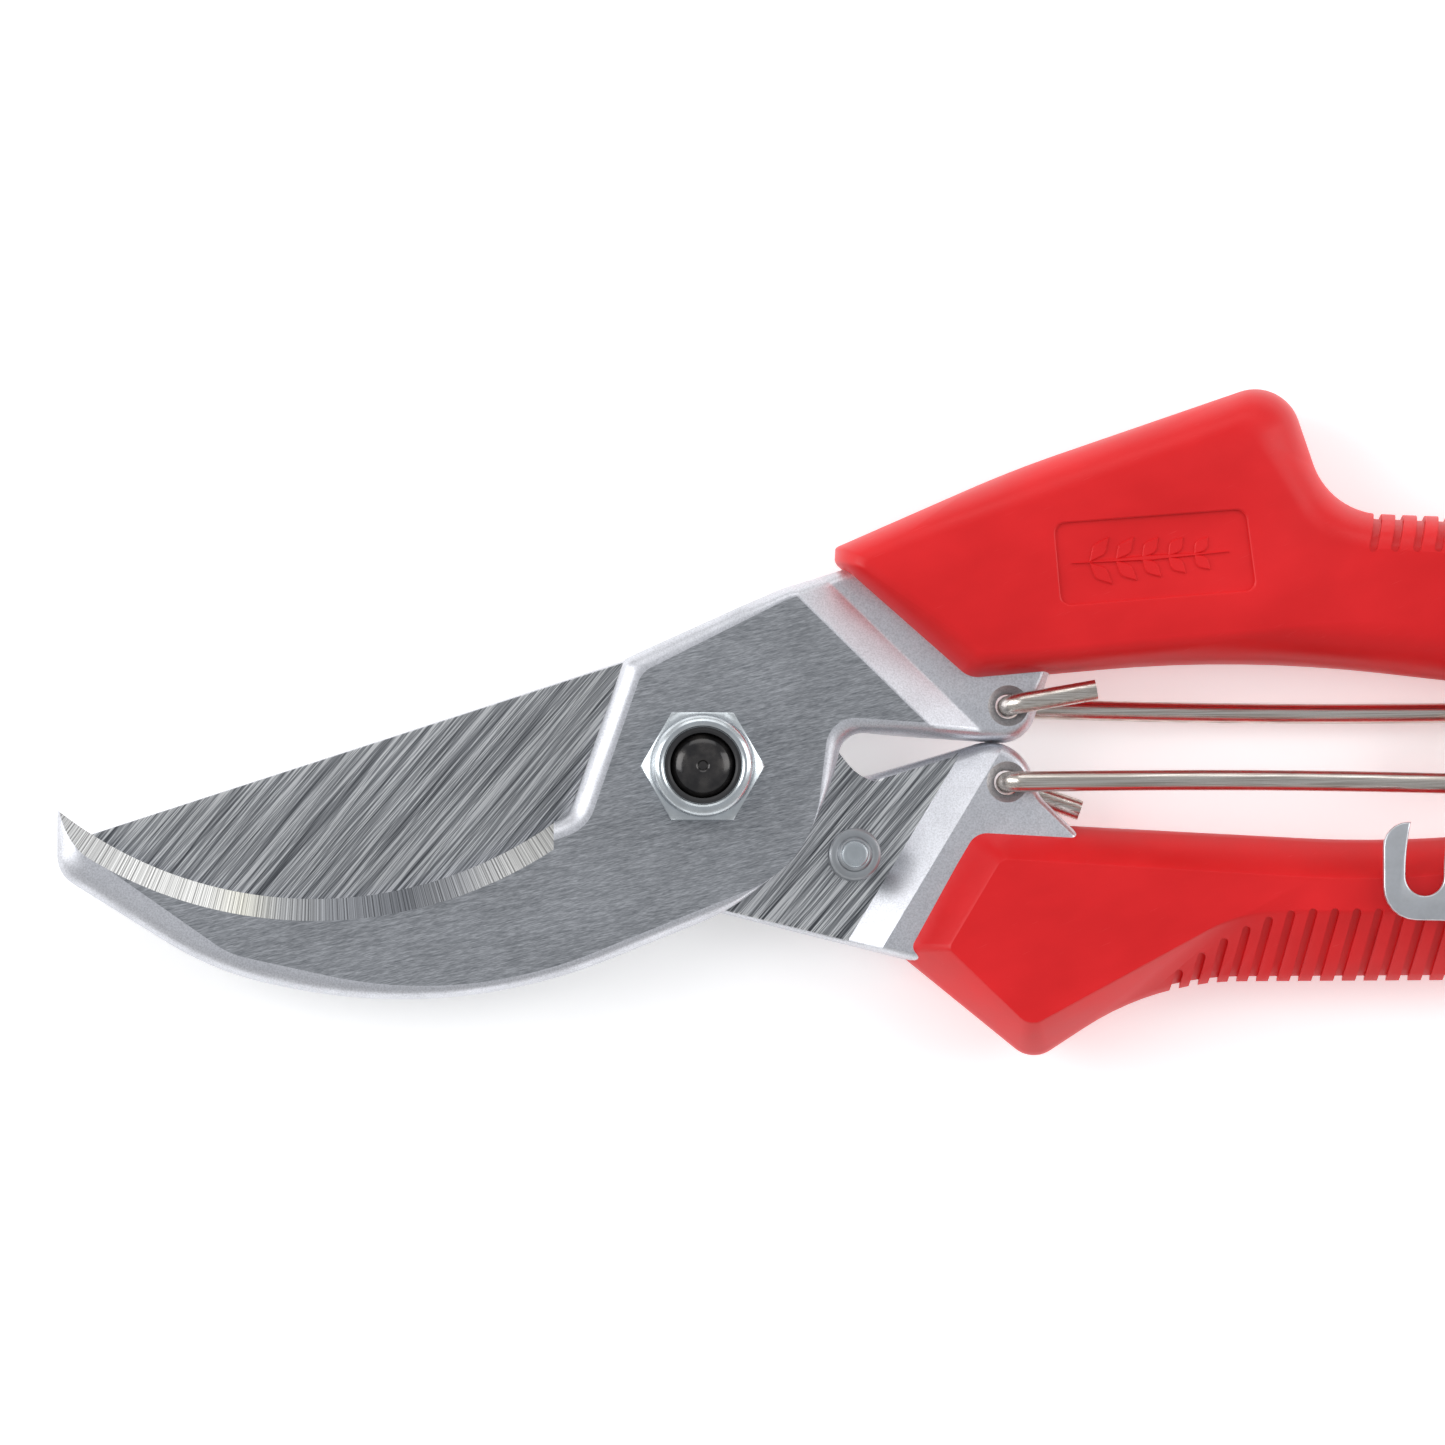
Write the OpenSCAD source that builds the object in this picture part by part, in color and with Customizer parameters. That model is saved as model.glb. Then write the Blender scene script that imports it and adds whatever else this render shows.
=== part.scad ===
// Bypass pruning shears: two forged halves on one pivot bolt, moulded grips, a wire spring
// and a catch plate that holds the handles shut.
// They lie flat: the pivot is the Z axis, +X runs to the handle ends, -X to the blade tip,
// +Y to the handle with the hook forging, and Z = 0 is the surface that they rest on.

/* [Overall] */
// From the pivot to the tip of the hook
reach = 78.3; // [65:0.1:95]
// From the pivot to the ends of the handles
handle_l = 127; // [105:0.5:155]
// Thickness of each grip
grip_t = 15; // [13:0.5:20]

/* [Forgings] */
// Thickness of the cutting blade
blade_t = 3.65; // [3:0.05:4.4]
// Thickness of the hook at its ground face
hook_t = 5; // [4:0.1:6]
// Thickness of both tangs
tang_t = 6; // [5:0.1:7]
// Gap between two faces that slide on each other
face_gap = 0.05; // [0.02:0.01:0.1]
// Radius of the round boss of the cutting blade
boss_r = 16.4; // [14:0.1:17]
// Depth of the hook's hollow below the line between its ends
mouth_depth = 11.1; // [8:0.1:13]
// Width of the bevel along the hook's hollow
mouth_bevel_w = 2.7; // [1.5:0.1:4]
// Drop of the bevel along the hook's hollow
mouth_bevel_h = 1.5; // [0.8:0.1:2.5]
// Depth of the cutting edge below the line between its ends
edge_depth = 11.4; // [9.5:0.1:13]
// Width of the bevel ground on the back of the cutting edge
edge_bevel_w = 8; // [5:0.5:10]

/* [Pivot] */
// Diameter of the pivot bolt
bolt_d = 8; // [6:0.5:9]
// Radial play of each pin and bolt in its hole
pin_play = 0.05; // [0.02:0.01:0.1]
// Diameter of the bolt head
head_d = 16; // [13:0.5:19]
// Height of the bolt head
head_h = 3; // [2.2:0.1:3.4]
// Diameter of the thrust washer under the bolt head
washer_d = 17; // [14:0.5:20]
// Thickness of the thrust washer
washer_t = 0.75; // [0.5:0.05:1]
// Nut width across its flats
nut_af = 13; // [13:0.5:16]
// Height of the nut with its collar
nut_h = 7.2; // [6:0.1:9]
// Height of the nut's hexagon
nut_hex_h = 4.8; // [4:0.1:5.4]

/* [Stops] */
// Diameter of the bush that stops the opening
bush_d = 6.4; // [5.4:0.1:7.2]
// Diameter of the rivet in the stop bush
stop_rivet_d = 3.3; // [2.5:0.1:3.8]
// Gap left between the closing stops of the tangs
stop_gap = 0.05; // [0.02:0.01:0.2]

/* [Spring] */
// Diameter of the spring wire
wire_d = 2.5; // [1.8:0.1:2.8]
// Diameter of the spring holes in the tangs
spring_hole_d = 3.1; // [3.1:0.1:3.6]
// Diameter of the countersinks of the spring holes
spring_sink_d = 5; // [4.4:0.1:5.4]
// Gap between the wire and the face of a tang
wire_gap = 0.3; // [0.2:0.05:0.5]
// Mean radius of the coil
coil_r = 4.6; // [4:0.1:5.5]
// From the coil's axis to the ends of the handles
coil_back = 30; // [24:0.5:40]
// Length of the hooked end in front of the upper tang
upper_stub_l = 10.8; // [7:0.1:11.5]
// Length of the hooked end behind the lower tang
lower_stub_l = 9.8; // [7:0.1:10.5]

/* [Catch] */
// From the catch's rivet to the ends of the handles
catch_back = 10; // [9:0.5:12]
// Thickness of the catch plate
catch_t = 1.5; // [1:0.1:2]
// Diameter of the catch's rivet and of the keeper stud
catch_pin_d = 4; // [3:0.1:4.4]
// Thickness of the spacing washer under the catch plate
catch_washer_t = 0.6; // [0.4:0.1:1]
// Thickness of the washers under the riveted ends
rivet_washer_t = 0.8; // [0.5:0.1:1]
// Diameter of the washers under the riveted ends
rivet_washer_d = 6.4; // [5.6:0.1:6.6]

/* [Grips] */
// Spacing of the finger grooves
groove_pitch = 2.67; // [2.2:0.01:4]
// Width of a finger groove
groove_w = 1.05; // [0.6:0.05:1.4]
// Depth of a finger groove
groove_depth = 0.7; // [0.4:0.05:1.2]
// Lean of the finger grooves
groove_lean = 13; // [0:1:20]
// Length of the recessed panel on the upper grip
panel_l = 23.5; // [16:0.1:25]
// Width of the recessed panel on the upper grip
panel_w = 9.9; // [7:0.1:11]
// Depth of the recessed panel
panel_depth = 0.4; // [0.2:0.05:0.8]

/* [Hidden] */
$fn = 64;

// Levels, from the resting surface up
blade_z0 = head_h + washer_t + face_gap;
blade_z1 = blade_z0 + blade_t;
hook_z0 = blade_z1 + face_gap;
hook_z1 = hook_z0 + hook_t;
tang_z0 = (grip_t - tang_t) / 2;
tang_z1 = (grip_t + tang_t) / 2;
wire_back_z = tang_z0 - wire_gap - wire_d / 2;
wire_front_z = tang_z1 + wire_gap + wire_d / 2;
catch_z0 = grip_t + catch_washer_t + face_gap;
catch_z1 = catch_z0 + catch_t;

// Places in plan
stop_at = [18.6, -10.5];
upper_hole_at = [37.35, 7.64];
lower_hole_at = [37.2, -1.64];
coil_at = [handle_l - coil_back, 2.6];
catch_at = [handle_l - catch_back, -13.3];
keeper_at = [handle_l - catch_back, 16.2];
catch_arm = keeper_at[1] - catch_at[1];
panel_at = [54.9, 25.5];
panel_lean = 4.4;
stop_sink_h = 1.2;
// The nut's insert, and the collar's lip that is turned in over it
insert_r = bolt_d / 2 + 1.2;
insert_h = 1.8;
insert_z0 = hook_z1 + nut_h - 2.3;
insert_grip = 0.08;
lip_r = bolt_d / 2 + 0.65;

// The wire's bends, and the turns that fit between its two arms with their coils just apart
wire_sides = 10;
bend_r = 2.2;
turn_gap = 0.08;
coil_h = wire_front_z - wire_back_z;
coil_turns = floor(coil_h / (wire_d + turn_gap) - 0.5) + 0.5;
coil_rise = coil_h / coil_turns;
// The coil is parted half way up, with room for the turn between its two halves
coil_split = 180 * coil_turns;
coil_split_gap = 38;

// The hook forging's tang leaves the ground face along a ramp. Its top and foot are this far
// from the pivot, measured along hook_ramp_dir, and so is the step in its back.
hook_ramp_dir = 45.6;
hook_ramp = [22.97, 27.3];
hook_step = [17.3, 20];
// The cutting blade's tang rises in a ground run-out, a ridge and a ramp, along blade_ramp_dir
blade_ramp_dir = -31;
blade_runout = 23.4;
blade_ridge = 26.1;
blade_ramp_top = 30.1;
ridge_rise = 0.9;

// The two ends of the hook's hollow and of the cutting edge
mouth_ends = [[-reach, -5.4], [-15, -4.4]];
edge_ends = [[2 - reach, -9.2], [-16.5, -9.2]];

function unit(v) = v / norm(v);
function turned(v, a) = [v[0] * cos(a) - v[1] * sin(a), v[0] * sin(a) + v[1] * cos(a)];
// Radius and centre of the arc that sags by depth below the line from ends[0] to ends[1]
function sag_radius(ends, depth) =
    (pow(norm(ends[1] - ends[0]) / 2, 2) + pow(depth, 2)) / (2 * depth);
function sag_centre(ends, depth) =
    (ends[0] + ends[1]) / 2
    + turned(unit(ends[1] - ends[0]), 90) * (sag_radius(ends, depth) - depth);

// One corner of an outline, rounded to radius r with n steps
function corner(a, b, c, r, n) =
    let (
        u = unit(a - b),
        v = unit(c - b),
        half = acos(u * v) / 2,
        centre = b + unit(u + v) * r / sin(half),
        start = b + u * r / tan(half) - centre,
        turn = -sign(cross(u, v)) * (180 - 2 * half)
    )
    [for (k = [0:n]) centre + turned(start, turn * k / n)];
function plan(p) = [p[0], p[1]];
// An outline from its corners, each [x, y, radius]
function rounded(pts, n = 10) =
    let (m = len(pts))
    [for (i = [0:m - 1])
        each (pts[i][2] > 0
            ? corner(plan(pts[(i + m - 1) % m]), plan(pts[i]), plan(pts[(i + 1) % m]), pts[i][2], n)
            : [plan(pts[i])])];

mouth_r = sag_radius(mouth_ends, mouth_depth);
mouth_at = sag_centre(mouth_ends, mouth_depth);
edge_r = sag_radius(edge_ends, edge_depth);
edge_at = sag_centre(edge_ends, edge_depth);
// The nose's lower flank ends a little inside the hollow, and the hollow ends at the nose
nose_x = -20.5;
mouth_stop_x = -18;
nose_y = mouth_at[1] - sqrt(pow(mouth_r, 2) - pow(nose_x - mouth_at[0], 2)) + 0.3;

// Hook, tang and the core inside the upper grip, anticlockwise from the tip
hook_corners = [
    [-reach, -4.6, 0.3],
    [-reach, -12.9, 4],
    [-0.7535 * reach, -24.9, 40],
    [-0.383 * reach, -30.8, 68],
    [13.4, -13.3, 28],
    [17.3, 4.55, 3],
    [40.4, 3.1, 4.2],
    [40.4, 11.6, 1.5],
    [45, 15.8, 3],
    [66, 17.4, 120],
    [handle_l - 6.5, 12.2, 2.5],
    [handle_l - 6.5, 19, 2.5],
    [handle_l - 26, 26, 30],
    [76.5, 26.8, 5],
    [66, 39.7, 3.5],
    [9.5, 21.9, 20],
    [-9.4, 13.3, 1],
    [-16.2, -5.9, 3.5],
    [nose_x, nose_y, 0]
];
// Tang of the cutting blade and the core inside the lower grip, anticlockwise from the pivot
blade_tang_corners = [
    [0, 0, 0],
    [-4, -14.4, 0],
    [27, -23.7, 1.5],
    [39, -29.2, 3],
    [53, -22.3, 12],
    [handle_l - 6.5, -18, 2.5],
    [handle_l - 6.5, -9.4, 2.5],
    [84, -12.8, 60],
    [47, -11.6, 1],
    [45.9, -7.9, 0.3],
    [41.2, -3.3, 4],
    [38.6, 4.62, 5.6],
    [17.5, -1.55, 3],
    [15.2, 5, 0]
];
// Each grip is widest at its parting line and narrows to a flat face on either side
upper_parting = [
    [16.3, 25.2, 1],
    [32.4, 10.7, 3],
    [66, 13.7, 170],
    [handle_l - 1.5, 7, 5],
    [handle_l, 20.5, 7],
    [handle_l - 26, 30.6, 50],
    [75.4, 31.6, 6.5],
    [70.15, 47.9, 5.9],
    [38, 36.6, 150],
    [16.2, 27, 0.8]
];
upper_face = [
    [18.6, 24.5, 0.35],
    [34.4, 13.9, 3],
    [84, 18.3, 60],
    [handle_l - 5, 11.2, 3],
    [handle_l - 5, 18.8, 3],
    [handle_l - 26, 25.4, 40],
    [75, 27, 9],
    [66.6, 43.2, 3],
    [39.3, 33, 120],
    [18.9, 25.5, 0.35]
];
lower_parting = [
    [23.3, -21.9, 1.2],
    [40.3, -35.7, 3.6],
    [55.3, -25.9, 35],
    [handle_l - 23, -25.6, 60],
    [handle_l, -21, 6],
    [handle_l - 1, -5, 5],
    [84, -8.9, 150],
    [31.9, -6.2, 3]
];
lower_face = [
    [29.9, -22, 0.8],
    [39.7, -31.5, 2.2],
    [66, -17.2, 20],
    [handle_l - 23, -17.8, 40],
    [handle_l - 5, -17.4, 3],
    [handle_l - 5, -8.6, 3],
    [84, -14, 100],
    [36.3, -11.2, 1.5]
];

// A closed solid through outlines that have the same number of points, each [outline, z]
module loft(levels) {
    n = len(levels[0][0]);
    m = len(levels);
    points = [for (level = levels) each [for (p = level[0]) [p[0], p[1], level[1]]]];
    sides = [for (k = [0:m - 2], i = [0:n - 1])
        [k * n + i, (k + 1) * n + i, (k + 1) * n + (i + 1) % n, k * n + (i + 1) % n]];
    halves = [for (s = sides) each [[s[0], s[1], s[2]], [s[0], s[2], s[3]]]];
    foot = [for (i = [0:n - 1]) i];
    top = [for (i = [0:n - 1]) m * n - 1 - i];
    polyhedron(points, concat(halves, [foot, top]));
}

// What lies above or below a profile of [distance from the pivot, height], square to dir
module ramp(dir, profile) {
    rotate([0, 0, dir])
        rotate([90, 0, 0])
            translate([0, 0, -200])
                linear_extrude(400)
                    polygon(profile);
}

module at(place, z) {
    translate([place[0], place[1], z])
        children();
}

// A drilled hole with a countersink at each face of a tang
module spring_hole(place) {
    sink_h = (spring_sink_d - spring_hole_d) / 2;
    at(place, tang_z0 - 1)
        cylinder(d = spring_hole_d, h = tang_t + 2);
    at(place, tang_z1 - sink_h)
        cylinder(d1 = spring_hole_d, d2 = spring_sink_d + 0.4, h = sink_h + 0.2);
    at(place, tang_z0 - 0.2)
        cylinder(d1 = spring_sink_d + 0.4, d2 = spring_hole_d, h = sink_h + 0.2);
}

module hook_blade() {
    below = tang_z0 - 5;
    above = hook_z1 + 5;
    color("silver")
        difference() {
            translate([0, 0, tang_z0])
                linear_extrude(hook_z1 - tang_z0)
                    polygon(rounded(hook_corners));
            // Hollow of the hook and the bevel along it, both as far as the nose
            intersection() {
                at(mouth_at, 0) {
                    cylinder(r = mouth_r, h = above, $fn = 180);
                    translate([0, 0, hook_z1 - mouth_bevel_h])
                        cylinder(
                            r1 = mouth_r, r2 = mouth_r + 2 * mouth_bevel_w,
                            h = 2 * mouth_bevel_h, $fn = 180
                        );
                }
                translate([mouth_stop_x - 2 * reach, -reach, -1])
                    cube([2 * reach, 2 * reach, above + 2]);
            }
            // Ground back face, against which the cutting blade slides
            ramp(hook_ramp_dir, [
                [-200, hook_z0], [hook_step[0], hook_z0], [hook_step[1], tang_z0],
                [hook_step[1], below], [-200, below]
            ]);
            // Ramp from the ground front face down to the tang
            ramp(hook_ramp_dir, [
                [hook_ramp[0], above], [hook_ramp[0], hook_z1], [hook_ramp[1], tang_z1],
                [200, tang_z1], [200, above]
            ]);
            cylinder(d = bolt_d + 2 * pin_play, h = above);
            spring_hole(upper_hole_at);
            at(keeper_at, 0)
                cylinder(d = catch_pin_d, h = above);
        }
}

// Plan of the cutting blade and its boss, without the tang
module blade_plan() {
    spine_foot = [-9.3, 13.3];
    intersection() {
        translate(edge_at)
            circle(edge_r, $fn = 180);
        polygon([[2 - reach, -8.4], spine_foot, [0, 0], [-14, -14], [-0.5 * reach, -60], [-reach, -60]]);
    }
    circle(boss_r, $fn = 120);
}

module cutting_blade() {
    below = blade_z0 - 5;
    above = tang_z1 + 5;
    ridge_z = blade_z1 + ridge_rise;
    heel = atan2(edge_ends[1][1] - edge_at[1], edge_ends[1][0] - edge_at[0]);
    tip = atan2(edge_ends[0][1] - edge_at[1], edge_ends[0][0] - edge_at[0]);
    color("lightgray")
        difference() {
            translate([0, 0, blade_z0])
                linear_extrude(tang_z1 - blade_z0)
                    union() {
                        blade_plan();
                        offset(delta = -stop_gap / 2)
                            polygon(rounded(blade_tang_corners));
                    }
            // Ground front face, its run-out, and the ramp up to the tang
            ramp(blade_ramp_dir, [
                [-200, blade_z1], [blade_runout, blade_z1], [blade_ridge, ridge_z],
                [2 * blade_ramp_top - blade_ridge, 2 * tang_z1 - ridge_z], [-200, 2 * tang_z1 - ridge_z]
            ]);
            // Back of the tang
            ramp(blade_ramp_dir, [
                [blade_ridge, below], [blade_ridge, blade_z0], [blade_ramp_top, tang_z0],
                [200, tang_z0], [200, below]
            ]);
            // Bevel behind the cutting edge
            at(edge_at, 0)
                rotate([0, 0, tip - 4])
                    rotate_extrude(angle = heel - tip + 4, $fn = 180)
                        polygon([
                            [edge_r - edge_bevel_w, blade_z0 - 0.01], [edge_r, blade_z1 - 0.3],
                            [edge_r + 3, blade_z1 - 0.3], [edge_r + 3, blade_z0 - 0.01]
                        ]);
            translate([0, 0, below])
                cylinder(d = bolt_d + 2 * pin_play, h = above);
            at(stop_at, below)
                cylinder(d = stop_rivet_d, h = above);
            // Spot face for the stop bush, which reaches the start of the run-out
            at(stop_at, blade_z1)
                cylinder(d = bush_d + 0.4, h = above);
            at(stop_at, blade_z0)
                cylinder(d1 = stop_rivet_d + 2 * stop_sink_h, d2 = stop_rivet_d, h = stop_sink_h);
            spring_hole(lower_hole_at);
            at(catch_at, below)
                cylinder(d = catch_pin_d, h = above + 5);
        }
}

// A grip slopes from its parting line to its flat faces, where a slab cuts the slopes off
module grip_body(parting, face) {
    past = 0.2;
    widest = rounded(parting);
    flat_edge = rounded(face);
    run_on = flat_edge + (flat_edge - widest) * past / (grip_t / 2);
    intersection() {
        loft([[run_on, -past], [widest, grip_t / 2], [run_on, grip_t + past]]);
        translate([0, -100, 0])
            cube([2 * handle_l, 200, grip_t]);
    }
}

// Room for a rivet right through a grip, with a pocket for its washer in the back
module rivet_room(place) {
    at(place, -1)
        cylinder(d = catch_pin_d, h = grip_t + 2);
    at(place, -1)
        cylinder(d = rivet_washer_d + 0.4, h = 1 + 2 * rivet_washer_t);
}

// Finger grooves across the parting line, from x0 to the handle's end, with their floors
// along y0. They open towards +Y where dir is 1 and towards -Y where it is -1.
module grooves(x0, x1, y0, slope, dir) {
    count = floor((x1 - x0) / groove_pitch);
    for (k = [0:count])
        translate([x0 + k * groove_pitch, y0 + slope * k * groove_pitch, -1])
            rotate([0, 0, dir * groove_lean])
                translate([-groove_w / 2, dir > 0 ? 0 : -4, 0])
                    cube([groove_w, 4, grip_t + 2]);
}

module upper_grip() {
    color([0.83, 0.1, 0.12])
        difference() {
            grip_body(upper_parting, upper_face);
            // The tang and its core
            translate([0, 0, tang_z0])
                linear_extrude(tang_t)
                    polygon(rounded(hook_corners));
            grooves(84.5, handle_l - 30, 30.6 - groove_depth, -0.03, 1);
            // Recessed panel
            translate([panel_at[0], panel_at[1], grip_t - panel_depth])
                rotate([0, 0, panel_lean])
                    linear_extrude(1)
                        polygon(rounded([
                            [-panel_l / 2, -panel_w / 2, 1.3], [panel_l / 2, -panel_w / 2, 1.3],
                            [panel_l / 2, panel_w / 2, 1.3], [-panel_l / 2, panel_w / 2, 1.3]
                        ], 5));
            rivet_room(keeper_at);
        }
}

module lower_grip() {
    color([0.83, 0.1, 0.12])
        difference() {
            grip_body(lower_parting, lower_face);
            translate([0, 0, tang_z0])
                linear_extrude(tang_t)
                    polygon(rounded(blade_tang_corners));
            grooves(64.6, handle_l - 25, -25.9 + groove_depth, 0, -1);
            rivet_room(catch_at);
        }
}

module pivot_bolt() {
    end_z = hook_z1 + nut_h - 0.4;
    r = bolt_d / 2;
    color([0.1, 0.1, 0.11])
        difference() {
            rotate_extrude()
                polygon([
                    [0, 0], [head_d / 2 - 0.8, 0], [head_d / 2, 0.8], [head_d / 2, head_h - 0.4],
                    [head_d / 2 - 0.4, head_h], [r, head_h], [r, hook_z1 - 0.6],
                    [r - 0.1, hook_z1 - 0.4], [r - 0.1, end_z - 1.3], [r - 0.6, end_z - 0.6],
                    [r - 1.8, end_z - 0.15], [0, end_z]
                ]);
            // Two holes for a pin spanner
            for (side = [-1, 1])
                translate([side * head_d * 0.31, 0, -1])
                    cylinder(d = 2, h = 1 + head_h * 0.6, $fn = 24);
        }
}

module pivot_nut() {
    corner_r = nut_af / sqrt(3);
    collar_r = nut_af / 2 - 0.3;
    color([0.72, 0.76, 0.78])
        difference() {
            translate([0, 0, hook_z1]) {
                intersection() {
                    cylinder(r = corner_r, h = nut_hex_h, $fn = 6);
                    rotate_extrude()
                        polygon([
                            [0, 0], [nut_af / 2, 0], [corner_r, 0.5], [corner_r, nut_hex_h - 0.6],
                            [nut_af / 2 - 0.1, nut_hex_h], [0, nut_hex_h]
                        ]);
                }
                rotate_extrude()
                    polygon([
                        [0, nut_hex_h - 0.5], [collar_r, nut_hex_h - 0.5], [collar_r, nut_h - 0.9],
                        [collar_r - 0.8, nut_h], [0, nut_h]
                    ]);
            }
            translate([0, 0, hook_z1 - 1])
                cylinder(d = bolt_d, h = nut_h + 2);
            // Seat of the insert, under the turned-in lip
            translate([0, 0, insert_z0])
                cylinder(r = insert_r, h = insert_h);
            translate([0, 0, insert_z0 + insert_h - 0.5])
                cylinder(r = lip_r, h = 2);
        }
}

module nut_insert() {
    color([0.06, 0.06, 0.07])
        translate([0, 0, insert_z0])
            difference() {
                cylinder(r = insert_r, h = insert_h);
                translate([0, 0, -1])
                    cylinder(r = bolt_d / 2 - insert_grip, h = insert_h + 2);
            }
}

module thrust_washer() {
    color([0.75, 0.66, 0.42])
        translate([0, 0, head_h])
            difference() {
                cylinder(d = washer_d, h = washer_t);
                translate([0, 0, -1])
                    cylinder(r = bolt_d / 2 + pin_play, h = washer_t + 2);
            }
}

module stop_bush() {
    r = bush_d / 2;
    lip_h = hook_t - 0.4;
    ring_h = hook_t - 0.1;
    color([0.66, 0.67, 0.68])
        at(stop_at, blade_z1)
            difference() {
                rotate_extrude()
                    polygon([
                        [0, 0], [r, 0], [r, lip_h - 0.5], [r - 0.5, lip_h],
                        [stop_rivet_d / 2 + 0.45, lip_h], [stop_rivet_d / 2 + 0.3, ring_h],
                        [0, ring_h]
                    ]);
                translate([0, 0, -1])
                    cylinder(d = stop_rivet_d, h = hook_t + 2);
            }
}

// Countersunk in the back of the blade and riveted over the bush
module stop_rivet() {
    r = stop_rivet_d / 2;
    top = blade_z1 + hook_t + 0.15;
    color([0.7, 0.73, 0.75])
        at(stop_at, 0)
            rotate_extrude()
                polygon([
                    [0, blade_z0], [r + stop_sink_h, blade_z0], [r, blade_z0 + stop_sink_h],
                    [r, top - 0.2], [r - 0.3, top], [0, top]
                ]);
}

// A shank through a grip, riveted over its washer at the back
module riveted_shank(top_z) {
    r = catch_pin_d / 2;
    rotate_extrude()
        polygon([
            [0, 0.2], [r + 0.4, 0.2], [r + 0.9, rivet_washer_t], [r, rivet_washer_t],
            [r, top_z], [0, top_z]
        ]);
}

module rivet_washer() {
    translate([0, 0, rivet_washer_t])
        difference() {
            cylinder(d = rivet_washer_d, h = rivet_washer_t);
            translate([0, 0, -1])
                cylinder(d = catch_pin_d, h = 4);
        }
}

module domed_head(r, z, h) {
    translate([0, 0, z])
        rotate_extrude()
            polygon([[0, 0], [r, 0], [r, h * 0.4], [r * 0.72, h * 0.85], [r * 0.3, h], [0, h]]);
}

module keeper_stud() {
    color([0.7, 0.71, 0.73])
        at(keeper_at, 0) {
            riveted_shank(catch_z1 + 0.4);
            // Shoulder that bears on the grip
            translate([0, 0, grip_t])
                cylinder(r = catch_pin_d / 2 + 1, h = catch_washer_t - 0.2);
            domed_head(catch_pin_d / 2 + 1.4, catch_z1 + 0.3, 1.3);
        }
}

module keeper_washer() {
    color([0.7, 0.71, 0.73])
        at(keeper_at, 0)
            rivet_washer();
}

module catch_rivet() {
    color([0.7, 0.71, 0.73])
        at(catch_at, 0) {
            riveted_shank(catch_z1 + 0.2);
            domed_head(catch_pin_d / 2 + 1.6, catch_z1 + face_gap, 1.5);
        }
}

module catch_back_washer() {
    color([0.7, 0.71, 0.73])
        at(catch_at, 0)
            rivet_washer();
}

module catch_spacer() {
    color([0.75, 0.66, 0.42])
        at(catch_at, grip_t)
            difference() {
                cylinder(r = catch_pin_d / 2 + 2.2, h = catch_washer_t);
                translate([0, 0, -1])
                    cylinder(d = catch_pin_d, h = 4);
            }
}

// Lies along the lower grip when released; a quarter turn clockwise hooks it on the stud
module catch_plate() {
    slot_r = catch_pin_d / 2 + 0.35;
    strip_w = 3;
    color([0.74, 0.75, 0.77])
        at(catch_at, catch_z0)
            rotate([0, 0, 90])
                difference() {
                    linear_extrude(catch_t)
                        union() {
                            circle(4.2);
                            polygon(rounded([
                                [-strip_w, -2.5, 0.5], [strip_w, -2.5, 0.5], [strip_w, catch_arm - 5.2, 2],
                                [6.6, catch_arm - 5.2, 1.4], [6.6, catch_arm + 5, 3],
                                [-5.2, catch_arm + 5, 4], [-strip_w - 2.6, catch_arm * 0.5, 12],
                                [-strip_w, 6, 6]
                            ], 6));
                        }
                    // Curved slot, open on the side that leads
                    translate([0, 0, -1])
                        intersection() {
                            difference() {
                                cylinder(r = catch_arm + slot_r, h = catch_t + 2, $fn = 120);
                                translate([0, 0, -1])
                                    cylinder(r = catch_arm - slot_r, h = catch_t + 4, $fn = 120);
                            }
                            translate([0, catch_arm - 9, 0])
                                cube([20, 18, catch_t + 2]);
                        }
                    translate([0, catch_arm, -1])
                        cylinder(r = slot_r, h = catch_t + 2);
                    translate([0, 0, -1])
                        cylinder(r = catch_pin_d / 2 + pin_play, h = catch_t + 2);
                }
}

// The wire is one closed skin, with a ring of wire_sides points at each [place, tangent, normal]
module wire(path) {
    r = wire_d / 2;
    n = wire_sides;
    m = len(path);
    points = [for (s = path, j = [0:n - 1])
        let (t = 360 * j / n)
        s[0] + r * (cos(t) * s[2] + sin(t) * cross(s[1], s[2]))];
    skin = [for (k = [0:m - 2], j = [0:n - 1])
        let (i = (j + 1) % n)
        each [
            [k * n + j, (k + 1) * n + j, (k + 1) * n + i],
            [k * n + j, (k + 1) * n + i, k * n + i]
        ]];
    first = [for (j = [0:n - 1]) j];
    last = [for (j = [0:n - 1]) m * n - 1 - j];
    polyhedron(points, concat(skin, [first, last]));
}

// Direction of an arm from its hole to where it meets the coil
function arm_dir(hole, side) =
    let (d = coil_at - hole)
    atan2(d[1], d[0]) + side * asin(coil_r / norm(d));
function flat(a) = [cos(a), sin(a), 0];

// From the end of the hooked stub, through the hole in the tang, to the start of the arm.
// up is 1 where the stub lies in front of the tang and -1 where it lies behind.
function hook_path(hole, stub_dir, stub_l, arm, up) =
    let (
        z = [0, 0, up],
        foot = [hole[0], hole[1], up > 0 ? wire_back_z : wire_front_z],
        head = [hole[0], hole[1], up > 0 ? wire_front_z : wire_back_z],
        s = flat(stub_dir),
        a = flat(arm),
        steps = 5
    )
    concat(
        [[head + s * stub_l, -s, cross(z, s)]],
        [for (k = [0:steps])
            let (t = 90 * k / steps)
            [
                head + (s - z) * bend_r + bend_r * (z * cos(t) - s * sin(t)),
                -s * cos(t) - z * sin(t),
                cross(z, s)
            ]],
        [for (k = [0:steps])
            let (t = 90 * k / steps)
            [
                foot + (a + z) * bend_r - bend_r * (a * cos(t) + z * sin(t)),
                a * sin(t) - z * cos(t),
                cross(z, a)
            ]]
    );

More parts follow.
